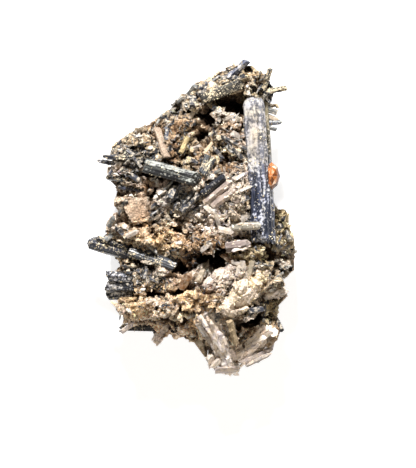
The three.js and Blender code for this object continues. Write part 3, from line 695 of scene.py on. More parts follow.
LUMPS = [fragment(k, (1, 0.8, 0.6)) for k in range(8)]
RODS = [fragment(20 + k, (0.32, 0.28, 1.25)) for k in range(6)]
CHUNKS = LUMPS + RODS
spots, facing = spots_on(body.data, CHUNK_COUNT, chunk_share)
kinds = dice.integers(0, len(CHUNKS), CHUNK_COUNT)
size = sizes_between(CHUNK_SIZE, CHUNK_COUNT, 1.8)
lean = facing + dice.normal(0, 0.6, (CHUNK_COUNT, 3))
rods = kinds >= len(LUMPS)
lie = grain_lie(spots[rods]) + dice.normal(0, 0.4, rods.sum())
lean[rods] = np.column_stack([np.cos(lie), np.sin(lie), np.zeros(len(lie))]) + 0.3 * facing[rods]
turns = frames_along(lean, dice.uniform(0, 2 * math.pi, CHUNK_COUNT))
spots = spots + facing * (size * dice.uniform(-0.2, 0.45, CHUNK_COUNT))[:, None]
scale = size[:, None] * dice.uniform(0.8, 1.2, (CHUNK_COUNT, 3))
fuse(body, blocks + [strewn("chunks", CHUNKS, kinds, spots, turns, scale)])
evenly_meshed(body, BODY_VOXEL)
unseen = body.vertex_groups.new(name="under_side")
under = np.nonzero((normals_of(body.data)[:, 2] < 0.05) | (corners_of(body.data)[:, 2] < UNSEEN_HEIGHT))[0]
unseen.add([int(number) for number in under], 1.0, "REPLACE")
thin_out = body.modifiers.new("thin_out", "DECIMATE")
thin_out.ratio = FACE_SHARE
thin_out.vertex_group = unseen.name
apply_modifiers(body)

corners = corners_of(body.data)
normals = normals_of(body.data)
clay = on_clay(corners) * (corners[:, 2] > CLAY_HEIGHT)
block_of, border = block_at(corners)
coarse, coarse_cracks, _ = broken_faces(corners / FACE_SIZES[0], FACE_SIZES[0])
fine, fine_cracks, lots = broken_faces(shard_spots(corners, block_of, FACE_SIZES[1]), FACE_SIZES[1])
pitted = 0.5 - at_each(corners, lambda p: noise.turbulence(p / PIT_SIZE, 4, True))  # ridges round pits
soft = in_soft_earth(corners)
split = coarse * 0.7 + fine * 0.85 - BORDER_DEPTH * np.clip(1 - border * 4, 0, 1)
split = RELIEF_LIMIT * np.tanh(split / RELIEF_LIMIT) * (1 - 0.8 * clay) * (1 - 0.45 * soft)
move = split + pitted * PIT_DEPTH * (1 + 0.5 * soft) * (1 - 0.75 * clay)
cracks = np.minimum(np.minimum(coarse_cracks * 1.5, fine_cracks), border + 0.12)
flat_back = np.clip(corners[:, 2] / 1.5, 0, 1)  # no relief where the lump rests
corners += normals * (move * flat_back)[:, None]
low, high = (np.array(corner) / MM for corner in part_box("matrix"))
low, high = low + [REACH_MARGIN, REACH_MARGIN, 0], high - [REACH_MARGIN, REACH_MARGIN, -1]
ragged = REACH_RAGGED * np.abs(at_each(corners, lambda p: noise.noise(p * 0.4)))
outside, back = stray(corners)
too_far = np.maximum(outside - ragged, 0) / np.maximum(outside, 0.01) * REACH_PULL
corners[:, :2] += back * too_far[:, None]
corners = np.clip(corners, low, high)
beside_top = BESIDE[cell_of(corners[:, 0], corners[:, 1])] + BESIDE_RISE
above = (beside_top > 1) & (corners[:, 2] > beside_top)
corners[above, 2] = beside_top[above] + 0.2 * (corners[above, 2] - beside_top[above])
crystal_top = WELL_INSIDE[cell_of(corners[:, 0], corners[:, 1])]
over = (crystal_top > 0) & (corners[:, 2] > crystal_top - BURIED)
corners[over, 2] = crystal_top[over] - BURIED
move_corners(body.data, corners)
normals = normals_of(body.data)
sunk = sunkenness(body.data, corners, normals, CLOSE_STEPS)
sunk += 0.6 * sunkenness(body.data, corners, normals, FAR_STEPS)
# Painted light and shade: the colour is lighter where the broken faces jut, darker where they lie low and
# along their cracks, and evener on the clay.
relief_shade = np.clip(0.55 + move * 0.35 - sunk * SUNK_SHADE, 0, 1.1)
relief_shade = relief_shade * np.clip(0.58 + 0.2 * soft + cracks * 1.9, 0, 1) * (1 - 0.5 * clay) + 0.4 * clay

# How deep a place lies below what surrounds it, from the height of the face over the grid.
WIDE_SPREAD = 7  # grid steps over which the surroundings are averaged
CLOSE_SPREAD = 2
RIM_SPREAD = 3


def averaged(grid, spread):
    """A grid blurred three times by a box that is spread steps wide on each side."""
    for axis in (0, 1, 0, 1, 0, 1):
        pad = [(0, 0), (0, 0)]
        pad[axis] = (spread + 1, spread)
        total = np.cumsum(np.pad(grid, pad, mode="edge"), axis=axis)
        wide = 2 * spread + 1
        if axis == 0:
            grid = (total[wide:] - total[:-wide]) / wide
        else:
            grid = (total[:, wide:] - total[:, :-wide]) / wide
    return grid


top = np.zeros(GRID_SIZE)
np.maximum.at(top, cell_of(corners[:, 0], corners[:, 1]), corners[:, 2])
around = averaged(top, WIDE_SPREAD)
beside = averaged(top, CLOSE_SPREAD)
within = np.clip(averaged((top > 0).astype(float), RIM_SPREAD) * 2.4 - 1.4, 0, 1)  # 0 at the outline


def hollowness(places):
    """0 on what stands out, 1 deep in a cavity."""
    cells = cell_of(places[:, 0], places[:, 1])
    wide = (around[cells] - places[:, 2] + 0.3) / 5.0
    close = (beside[cells] - places[:, 2] - 0.2) / 2.2
    carved = np.clip(cavity_depth(places) / 5, 0, 0.95) * np.clip(wide * 5 + 0.6, 0, 1)
    return np.clip(np.maximum(np.maximum(wide, close), carved), 0, 1) * (0.3 + 0.7 * within[cells])


# Broad stains under the blocks' own colours.
STAINS = (  # x, y, radius, what it is
    (-20, 24, 16, CREAM),
    (10, 42, 18, STRAW),
    (5, 12, 16, PALE),
    (-14, -6, 15, TAN),
    (-16, -28, 16, GOLDEN),
    (16, -26, 12, GLASSY),
    (12, -46, 14, GLASSY),
    (30, -10, 10, OLIVE),
)
LIT_FLANKS = ((-16, -37, 10, 5, -3), (-3, -41, 9, 4, 12))  # x, y, half sizes, turn of a flank with painted light
BIT_BLACK = (0.03, 0.032, 0.038)
BIT_WHITE = (0.82, 0.78, 0.72)
# The rust brown that the painted shade deep in the hollows darkens to.
RUST_AND_SHADE = (0.13, 0.065, 0.025)
CRACK_WARM_SHADE = np.array((0.0, 0.28, 0.52))  # what the painted shade in low places takes from red, green and blue


def earth(places):
    """Colour of the matrix at some places, with the shares of black and of white bits there."""
    weight = np.full(len(places), 0.0)
    colour = np.zeros((len(places), 3))
    black, white = np.zeros((2, len(places)))
    layers = [((x, y, radius, radius, 0, kind), 0.08) for x, y, radius, kind in STAINS]
    layers += [(block, 2.0) for block in BLOCKS]
    for feature, strength in layers:
        tone, dark_share, pale_share = feature[5]
        near = strength * np.exp(-distances(places, feature, 1.1) ** 2) + 1e-9
        colour += np.outer(near, tone)
        black, white, weight = black + near * dark_share, white + near * pale_share, weight + near
    # Painted light: on these flanks the colour is made lighter and the black bits fewer.
    flank_light = in_patches(places, LIT_FLANKS, 2)
    colour = colour / weight[:, None] * (1 + 0.55 * flank_light[:, None])
    return colour, black / weight * (1 - 0.5 * flank_light), white / weight


# Painted shade: the colour darkens towards a rust brown deep in the hollows.
hollow_shade = hollowness(corners)
tone, black_share, white_share = earth(corners)
black_one = lots[:, 0] < black_share * 0.9
white_one = lots[:, 0] > 1 - white_share * 0.4
tone[black_one] = BIT_BLACK
tone[white_one] = BIT_WHITE
tone = tone * (0.66 + 0.68 * lots[:, 1:2])
mottle = at_each(corners, lambda p: noise.fractal(p * 0.45, 0.8, 2.0, 4))
tone = tone * (0.9 + 0.4 * mottle[:, None]) * (0.05 + 1.45 * relief_shade[:, None])
tone = tone * (1 - (1 - relief_shade[:, None]) * CRACK_WARM_SHADE)
shade_amount = np.clip(hollow_shade * 1.5, 0, 1)[:, None]
tone = tone * (1 - 0.9 * shade_amount) + np.array(RUST_AND_SHADE) * (0.35 + 0.65 * (1 - hollow_shade[:, None])) * shade_amount
paint(body.data, "tint", tone)


def new_material(name):
    """A new material, its nodes, the call that links them, and its shader."""
    material = bpy.data.materials.new(name)
    material.use_nodes = True
    nodes = material.node_tree.nodes
    return material, nodes, material.node_tree.links.new, nodes["Principled BSDF"]


def wire(link, *wires):
    """Links nodes. Each wire names a node, its output, the next node and the input there."""
    for start, output, end, entry in wires:
        link(start.outputs[output], end.inputs[entry])


def add_node(nodes, kind, values=(), **settings):
    """Adds one node with its settings and the values of its sockets."""
    node = nodes.new("ShaderNode" + kind)
    for name, value in settings.items():
        setattr(node, name, value)
    for name, value in dict(values).items():
        node.inputs[name].default_value = value
    return node


def earth_material(name, roughness, bump, grain):
    """Dry earth: the stored colour, mottled at the size of its grains, and dull."""
    material, nodes, link, shader = new_material(name)
    shader.inputs["Roughness"].default_value = roughness
    shader.inputs["Specular IOR Level"].default_value = 0.3
    stored = add_node(nodes, "Attribute", attribute_name="tint")
    place = add_node(nodes, "TexCoord")
    speck = add_node(nodes, "TexNoise", {"Scale": 1 / (grain * MM), "Detail": 5, "Roughness": 0.8})
    shade = add_node(nodes, "MapRange", {"From Min": 0.3, "From Max": 0.7, "To Min": 0.35, "To Max": 1.75})
    grains = add_node(nodes, "TexVoronoi", {"Scale": 1 / (1.25 * grain * MM)}, feature="DISTANCE_TO_EDGE")
    gaps = add_node(nodes, "MapRange", {"From Max": 0.16, "To Min": 0.55, "To Max": 1.05})
    grainy = add_node(nodes, "Math", operation="MULTIPLY")
    mix = add_node(nodes, "VectorMath", operation="SCALE")
    lift = add_node(nodes, "Bump", {"Strength": bump, "Distance": 0.4 * MM})
    wire(
        link, (place, "Object", speck, "Vector"), (speck, "Fac", shade, "Value"),
        (stored, "Color", mix, 0), (place, "Object", grains, "Vector"),
        (grains, "Distance", gaps, "Value"), (gaps, "Result", grainy, 0), (shade, "Result", grainy, 1),
        (grainy, "Value", mix, "Scale"), (mix, "Vector", shader, "Base Color"),
        (grainy, "Value", lift, "Height"), (lift, "Normal", shader, "Normal"))
    return material


body.data.materials.append(earth_material("dry_earth", 0.95, 1.0, 0.65))
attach(body, "root")
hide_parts("matrix")

# ---------------------------------------------------------------- bits of the crust
# Broken bits cemented to the lump: angular cleavage blocks of feldspar and quartz, crumbs of the same earth
# and splinters of black tourmaline. Each is one mineral and one colour, darkened by painted shade where it
# reaches down into a hollow, and its faces are flat.
BLOCK_COUNT, BLOCK_SIZE = 350, (0.4, 1.5)  # half of a bit's length
CRUMB_COUNT, CRUMB_HALF = 4200, (0.2, 0.8)
SPLINTER_COUNT, SPLINTER_SIZE = 1500, (0.6, 2.6)
GRAIN_SPREAD = 0.5  # radians that the bits stray from the grain
BIT_OVERHANG = 0.9  # how far a bit may stick out beyond the outline
BIT_BLUE = (0.07, 0.075, 0.09)
GRAIN_COUNT, GRAIN_SIZE = 3800, (0.16, 0.62)
# The last of these dims the rubble on the steep sides: painted shade.
RUBBLE_COUNT, RUBBLE_SIZE, RUBBLE_SHADE = 1500, (0.4, 1.5), 0.78
GRAIN_PATCHES = SOFT_PATCHES + ((-14, -36, 9, 3, 5), (-2, -31, 7, 6, 0))
GRAIN_TONES = (
    (0.78, 0.55, 0.30),
    (0.64, 0.44, 0.24),
    (0.84, 0.70, 0.50),
    (0.62, 0.53, 0.48),
    (0.30, 0.17, 0.08),
    (0.72, 0.44, 0.22),
)


def crust_share(centre, facing):
    """Where bits lie: on faces turned up, outside the cavities, and few on the clay and the soft earth."""
    upper = np.clip(0.35 + facing[:, 2], 0.04, 1)
    open_air = 1 - 0.9 * np.clip(hollowness(centre) * 1.6, 0, 1)
    calm = (1 - 0.85 * on_clay(centre)) * (1 - 0.6 * in_soft_earth(centre))
    return upper * calm * open_air * (centre[:, 2] > 2) * open_sky(centre)


def shaded(places, colours):
    """Painted shade: bits darken towards a rust brown where they reach down into a hollow."""
    hollow_shade = hollowness(places)[:, None]
    return np.clip(colours * (1 - 0.85 * hollow_shade) + np.array(RUST_AND_SHADE) * 0.6 * hollow_shade, 0.004, 0.9)


def bits(name, seeds, count, span, flatness, weigh, colour_of, material):
    """A scatter of bits on the lump. flatness is 0 for any lie and 1 for bits that run with the grain."""
    spots, facing = spots_on(body.data, count, weigh)
    size = sizes_between(span, count, 2.4)
    kinds = dice.integers(0, len(seeds), count)
    any_way = dice.normal(0, 1, (count, 3))
    lie = grain_lie(spots) + dice.normal(0, GRAIN_SPREAD, count)
    along = np.column_stack([np.cos(lie), np.sin(lie), np.zeros(count)])
    along -= facing * (along * facing).sum(1)[:, None]
    lean = along * flatness * 1.6 + any_way * (1 - flatness) + facing * 0.2
    turns = frames_along(lean, dice.uniform(0, 2 * math.pi, count))
    scale = size[:, None] * dice.uniform(0.75, 1.25, (count, 3))
    spots = spots + facing * (size * 0.1)[:, None]
    reach = turns[:, :, 2] * scale[:, 2:]
    kept = np.maximum(stray(spots + reach)[0], stray(spots - reach)[0]) < BIT_OVERHANG
    kinds, spots, turns, scale = kinds[kept], spots[kept], turns[kept], scale[kept]
    piece = strewn(name, seeds, kinds, spots, turns, scale, colour_of(spots), shaded)
    piece.data.materials.append(material)
    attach(piece, "root")


def earthy(places):
    """Colours of bits of the crust: those of the earth there, with some black ones and some white ones."""
    colour, black, white = earth(places)
    value = np.exp(dice.normal(-0.12, 0.3, len(places)))
    colour = colour * value[:, None] * dice.normal(1, 0.04, (len(places), 3))
    pale_one = dice.random(len(places)) < white * 0.6
    colour[pale_one] = np.array(BIT_WHITE) * dice.uniform(0.7, 1.1, (int(pale_one.sum()), 1))
    dark_one = dice.random(len(places)) < black * 1.2
    colour[dark_one] = np.array(BIT_BLACK) * dice.uniform(0.5, 1.8, (int(dark_one.sum()), 1))
    return colour


def blackish(places):
    """Black to bluish colours."""
    mix = dice.random((len(places), 1)) ** 2
    colours = np.array(BIT_BLACK) * (1 - mix) + np.array(BIT_BLUE) * mix
    return colours * dice.uniform(0.6, 1.4, (len(places), 1))


def splinter_share(centre, facing):
    """Splinters lie where the earth is darkest."""
    return crust_share(centre, facing) * (0.02 + earth(centre)[1]) ** 1.3 * (1 - 0.85 * in_soft_earth(centre))


def grain_share(centre, facing):
    """Grains crowd on the softer earth."""
    near = in_patches(centre, GRAIN_PATCHES)
    upper = np.clip(0.5 + facing[:, 2], 0.05, 1)
    open_air = 1 - 0.85 * np.clip(hollowness(centre) * 1.4, 0, 1)
    return near * upper * open_air * (centre[:, 2] > 2) * open_sky(centre)


def wall_share(centre, facing):
    """Rubble sticks to the steep sides."""
    steep = np.clip(0.75 - facing[:, 2], 0, 1) * np.clip(0.4 + facing[:, 2], 0, 1)
    open_air = 1 - 0.8 * np.clip(hollowness(centre) * 1.4, 0, 1)
    return steep * open_air * (centre[:, 2] > 4) * open_sky(centre)


def dusky(places):
    """Earthy colours, dimmed by painted shade: no light falls straight on the sides."""
    return earthy(places) * RUBBLE_SHADE


def grain_tones(places):
    """Colours of single grains of the softer earth."""
    return picked_from(GRAIN_TONES, len(places)) * np.exp(dice.normal(0, 0.18, (len(places), 1)))


SHARDS = [fragment(60 + k, (1.0, 0.65, 0.22), 9) for k in range(6)]
SHARDS += [fragment(67 + k, (0.4, 0.3, 1.1), 8) for k in range(4)]
BLOCKY = [fragment(75 + k, (0.75, 0.5, 1.0), 8) for k in range(8)]
THIN = [fragment(90 + k, (0.22, 0.16, 1.0), 9) for k in range(6)]


def flecked_material(name):
    """Small tourmalines: the stored colour, glossy, with dull flecks of the pale film."""
    material, nodes, link, shader = new_material(name)
    stored = add_node(nodes, "Attribute", attribute_name="tint")
    place = add_node(nodes, "TexCoord")
    fleck = add_node(nodes, "TexNoise", {"Scale": 1 / (1.1 * MM), "Detail": 4, "Roughness": 0.7})
    cover = add_node(nodes, "MapRange", {"From Min": 0.50, "From Max": 0.60})
    blend = add_node(nodes, "Mix", data_type="RGBA", values={"B": (0.42, 0.37, 0.30, 1)})
    gloss = add_node(nodes, "MapRange", {"To Min": 0.42, "To Max": 0.9})
    wire(
        link, (place, "Object", fleck, "Vector"), (fleck, "Fac", cover, "Value"),
        (cover, "Result", blend, "Factor"), (stored, "Color", blend, "A"),
        (blend, "Result", shader, "Base Color"), (cover, "Result", gloss, "Value"),
        (gloss, "Result", shader, "Roughness"))
    return material


crumb_material = earth_material("crust_bits", 0.95, 0.4, 0.5)
splinter_material = flecked_material("tourmaline_splinters")
bits("cleavage_blocks", BLOCKY, BLOCK_COUNT, BLOCK_SIZE, 0.4, crust_share, earthy, crumb_material)
bits("crumbs", SHARDS, CRUMB_COUNT, CRUMB_HALF, 0.0, crust_share, earthy, crumb_material)
bits("earth_grains", BLOCKY + SHARDS, GRAIN_COUNT, GRAIN_SIZE, 0.0, grain_share, grain_tones, crumb_material)
bits("wall_rubble", BLOCKY + SHARDS, RUBBLE_COUNT, RUBBLE_SIZE, 0.0, wall_share, dusky, crumb_material)
bits("splinters", THIN, SPLINTER_COUNT, SPLINTER_SIZE, 0.85, splinter_share, blackish, splinter_material)

# ---------------------------------------------------------------- the tourmalines
# Prisms of black tourmaline with a rounded three-sided section, grooved along their length and broken across.
# They grow in the matrix. A pale film of clay and feldspar is left on them in patches, with crumbs of it.
TOURMALINE_VOXEL = 0.22
GROOVE = 0.11  # how deep the grooves are
BREAK_DEPTH = 0.35  # of the broken ends
SLANT_LENGTH = 9  # of the great crystal's slanting foot
TORN_DEPTH = 2.2
GREAT_CAP, GREAT_SHEAR = 3.6, 0.22
NIGHT = (0.018, 0.018, 0.020)
INK = (0.030, 0.033, 0.045)
VIOLET = (0.10, 0.11, 0.155)
FILM = (0.58, 0.54, 0.47)
CLAY_FILM = (0.62, 0.52, 0.36)
ASH_FILM = (0.36, 0.37, 0.34)
SOOT = (0.10, 0.105, 0.10)
LAVENDER = (0.47, 0.46, 0.50)
VEILED = (0.46, 0.44, 0.44)
TOURMALINES = {  # bare colour, streaks, film, share of film, share of crumbs
    "great_tourmaline": (INK, VIOLET, FILM, 0.5, 0.2),
    "striated_bar": (NIGHT, SOOT, ASH_FILM, 0.34, 0.2),
    "black_stub": (NIGHT, INK, FILM, 0.12, 0.1),
    "ladder_prism": (INK, SOOT, CLAY_FILM, 0.3, 0.4),
    "crest_prism": (NIGHT, (0.05, 0.045, 0.035), CLAY_FILM, 0.1, 0.7),
    "peak_prism": (INK, VIOLET, FILM, 0.3, 0.3),
    "upper_right_pair": (NIGHT, INK, CLAY_FILM, 0.45, 1.2),
    "side_spur_middle": (INK, VIOLET, ASH_FILM, 0.45, 0.6),
    "left_spike_top": (NIGHT, INK, CLAY_FILM, 0.22, 0.6),
    "left_spike_upper": (NIGHT, VIOLET, FILM, 0.3, 0.5),
    "left_spike_middle": (NIGHT, INK, CLAY_FILM, 0.25, 0.8),
    "left_spike_lower": (NIGHT, VIOLET, CLAY_FILM, 0.2, 0.7),
    "left_horn": (NIGHT, INK, CLAY_FILM, 0.08, 0.5),
    "shelf_bar": (NIGHT, (0.04, 0.045, 0.055), CLAY_FILM, 0.0, 0.8),
    "corner_cluster": (NIGHT, (0.05, 0.055, 0.07), FILM, 0.30, 0.2),
    "lower_edge_prism": (NIGHT, INK, CLAY_FILM, 0.2, 0.3),
}
GREAT_PATCHES = (  # on the great crystal: x, y, half sizes, and how much more film lies there
    (20.7, 38.5, 2.6, 2.6, 0.1),
    (19.5, 30.8, 1.2, 2.2, -0.75),
    (19.3, 25.5, 1.1, 1.6, -0.6),
    (21.5, 27.7, 1.6, 4.2, 0.3),
    (24.9, 31.9, 1.2, 7, -0.15),
    (24.9, 20.4, 1.3, 6, -0.2),
    (22.6, 18.3, 1.8, 4, 0.35),
    (21.9, 14.4, 2.2, 2.6, -0.3),
    (22.8, 7, 2.4, 3.5, -0.38),
    (22.8, 10.6, 1.2, 1.3, 0.35),
    (20.6, 2, 1.8, 6, -0.5),
    (25.2, 3, 0.9, 10, 0.38),
    (27.2, -2.5, 1.4, 7, -0.35),
    (24, -8.5, 3.5, 1, 0.3),
)
MARBLED = {"crest_prism": 1.6, "left_horn": 1.1, "shelf_bar": 0.9}  # 0.8 on the others
FILM_AND_LIT_SIDE = (-0.25, 0.5, 0.83)  # the film lies thickest on the faces turned this way, to the key light: painted light too
BAR_FILM_AND_LIT_SIDE = (0.1, 0.65, 0.65)  # on the bar it lies on the upper, lit side alone: painted light too
FILM_AND_LIGHT_LEAN = {"striated_bar": 2.2, "great_tourmaline": 0.2}  # how much more on that side, 0.5 on the others
CRUMBS_PER_AREA = 1.3  # on a fully crumbed crystal, in a square millimetre
LEAST_CRUMB = 0.16


def lengthways(places):
    """Middle of a crystal and its own three directions, the longest first."""
    middle = places.mean(0)
    axes = np.linalg.svd(places - middle, full_matrices=False)[2]
    return middle, axes


def grooved(piece, voxel, cap, shear):
    """Grooves a crystal along its length and breaks its ends. Its upper end is rounded over the length cap,
    and its lower end slants by shear. Returns its corners, the same lengthways, how high each lies between
    the grooves, and how much it is part of an end."""
    middle, axes = lengthways(corners_of(piece.data))
    if axes[0][1] < 0:
        axes[0] = -axes[0]
    evenly_meshed(piece, voxel)
    places = corners_of(piece.data)
    own = (places - middle) @ axes.T
    if cap:
        near_top = np.clip((own[:, 0] - own[:, 0].max() + cap) / cap, 0, 1)
        own[:, 1:] *= np.sqrt(1 - 0.7 * near_top[:, None] ** 2)
        uneven = at_each(own * [0.22, 0.3, 0.3], noise.noise)
        own[:, 1:] *= 1 + 0.1 * uneven[:, None]
        near_foot = np.clip((own[:, 0].min() + SLANT_LENGTH - own[:, 0]) / SLANT_LENGTH, 0, 1)
        own[:, 0] -= near_foot * shear * (places[:, 0] - places[:, 0].max())
        torn = np.array([noise.noise(Vector((b * 0.9, c * 0.9, 3))) for _, b, c in own])
        own[:, 0] += near_foot ** 2 * torn * TORN_DEPTH
        places = own @ axes + middle
        move_corners(piece.data, places)
    normals = normals_of(piece.data)
    ends = np.clip((np.abs(normals @ axes[0]) - 0.6) * 4, 0, 1)
    ribs = at_each(own * [0.05, 1.3, 1.3], noise.noise) + 0.6 * at_each(own * [0.09, 3.1, 3.1], noise.noise)
    jagged = at_each(places, lambda p: noise.turbulence(p * 0.9, 3, True)) - 0.5
    move = ribs * GROOVE * (1 - ends) + (jagged * 2 - 0.2) * BREAK_DEPTH * ends
    places = places + normals * move[:, None]
    move_corners(piece.data, places)
    return places, own, ribs, ends


def store(mesh, name, values):
    """Stores one number for each corner of a mesh."""
    layer = mesh.attributes.new(name, "FLOAT", "POINT")
    layer.data.foreach_set("value", values.astype(np.float32))


def crystal_tints(places, own, ribs, ends, film_and_light_lean, recipe, film_share, marbled, speck_size, lined):
    """Colour and bareness of a tourmaline: black, streaked along, with a film in patches that lies more on
    the faces turned to the light, so partly painted light. marbled tells how strongly specks of speck_size
    break up the film's edge, and lined how strongly the streaks show in it."""
    bare, streak, film = (np.array(colour) for colour in recipe[:3])
    blotch = at_each(own * [0.30, 0.5, 0.5], lambda p: noise.fractal(p, 0.8, 2.0, 5))
    cloud = np.clip(0.5 + at_each(places, lambda p: noise.noise(p * 0.4 + Vector((7, 1, 4)))), 0, 1)[:, None]
    film = film * cloud + np.array(LAVENDER) * (1 - cloud) if recipe[2] == FILM else film
    speck = at_each(places, lambda p: noise.noise(p / speck_size) + 0.6 * noise.noise(p * 2.1 / speck_size))
    lines = lined * at_each(own * [0.25, 3.4, 3.4], noise.noise)
    pale = np.clip(0.45 + ribs * 1.2 + lines * 1.1, 0, 1)[:, None] ** 2
    colour = bare * (1 - pale) + streak * pale
    film_at = blotch * 0.6 + speck * marbled + lines * 0.3 + (film_share - 0.5) * 1.7 + film_and_light_lean
    cover = np.clip(film_at * 1.6 + 0.42, 0, 1)[:, None] * (1 - 0.4 * ends[:, None])
    shade = 0.74 + 0.45 * lines + 0.25 * blotch + 0.4 * speck
    colour = colour * (1 - cover) + film * shade[:, None] * cover
    return np.clip(colour, 0.006, 0.88), 1 - cover[:, 0]


tourmaline, nodes, link, shader = new_material("black_tourmaline")
shader.inputs["Specular IOR Level"].default_value = 0.35
stored = add_node(nodes, "Attribute", attribute_name="tint")
shine = add_node(nodes, "Attribute", attribute_name="shine")
gloss = add_node(nodes, "MapRange", {"To Min": 0.85, "To Max": 0.24})
place = add_node(nodes, "TexCoord")
fleck = add_node(nodes, "TexNoise", {"Scale": 1 / (0.5 * MM), "Detail": 3})
lift = add_node(nodes, "Bump", {"Strength": 0.35, "Distance": 0.12 * MM})
wire(
    link, (stored, "Color", shader, "Base Color"), (shine, "Fac", gloss, "Value"),
    (gloss, "Result", shader, "Roughness"), (place, "Object", fleck, "Vector"),
    (fleck, "Fac", lift, "Height"), (lift, "Normal", shader, "Normal"))


def crumbs_on(piece, name, share, colour, largest=0.56):
    """Crumbs of the film's clay and feldspar that stick to a crystal, thickest in patches."""
    def patchy(centre, facing):
        patch = at_each(centre, lambda p: noise.noise(p * 0.3))
        return np.clip(patch + 0.25, 0, 1) * np.clip(0.5 + facing[:, 2], 0.05, 1)
    area = sum(face.area for face in piece.data.polygons) / MM ** 2
    count = max(8, int(area * CRUMBS_PER_AREA * share))
    spots, facing = spots_on(piece.data, count, patchy)
    size = sizes_between((LEAST_CRUMB, largest), count, 2.2)
    turns = frames_along(facing + dice.normal(0, 0.5, (count, 3)), dice.uniform(0, 2 * math.pi, count))
    tints = np.array(colour) * np.exp(dice.normal(0, 0.25, (count, 1)))
    kinds = dice.integers(0, len(SHARDS), count)
    crumb = strewn(name, SHARDS, kinds, spots, turns, size[:, None] * np.ones((1, 3)), np.clip(tints, 0, 0.9))
    crumb.data.materials.append(crumb_material)
    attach(crumb, "root")


for node, recipe in TOURMALINES.items():
    piece = copy_of(node, node + "_crystal")
    great = node == "great_tourmaline"
    places, own, ribs, ends = grooved(piece, TOURMALINE_VOXEL, GREAT_CAP if great else 0, GREAT_SHEAR)
    normals = normals_of(piece.data)
    film_share = np.full(len(places), recipe[3])
    if great:  # its upper part is nearly all under film on the left, its lower part half bare
        upper = np.clip((places[:, 1] - 8) / 14, 0, 1)
        left = np.clip(0.5 - normals[:, 0] * 1.6, 0, 1)
        film_share = 0.30 + upper * (0.22 + 0.20 * left)
        for x, y, rx, ry, more in GREAT_PATCHES:
            film_share += more * np.exp(-((places[:, 0] - x) / rx) ** 2 - ((places[:, 1] - y) / ry) ** 2)
    # The film is laid more on the faces turned to the key light: film and painted light.
    side = BAR_FILM_AND_LIT_SIDE if node == "striated_bar" else FILM_AND_LIT_SIDE
    film_and_light_lean = FILM_AND_LIGHT_LEAN.get(node, 0.5) * (normals @ side - 0.6)
    marbled = 0.9 + 0.6 * (1 - upper) if great else MARBLED.get(node, 0.8)
    speck_size = 0.85 if great else 0.67
    lined = 0.35 if great else 1.0
    tints, shine_share = crystal_tints(
        places, own, ribs, ends, film_and_light_lean, recipe, film_share, marbled, speck_size, lined)
    if great:  # a thin veil over its upper part, a bluer lower part and a creamy streak between
        tints = tints * (1 - 0.2 * upper[:, None]) + np.array(VEILED) * 0.2 * upper[:, None]
        tints *= 0.8 - 0.02 * upper[:, None] + (1 - upper[:, None]) * [0, 0.05, 0.16]
        creamy = np.exp(-((places[:, 0] - 22.2) / 1.5) ** 2 - ((places[:, 1] - 28) / 7.5) ** 2)[:, None]
        tints *= 1 + creamy * [0.16, 0.06, -0.10]
        dimmed = tints * (0.6 + 0.4 * upper[:, None])
        tints = np.where(tints.mean(1, keepdims=True) < 0.2, dimmed, tints * 1.04)
    paint(piece.data, "tint", tints)
    store(piece.data, "shine", shine_share)
    piece.data.materials.append(tourmaline)
    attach(piece, "root")
    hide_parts(node)
    crumbs_on(piece, node + "_crumbs", recipe[4], CLAY_FILM)

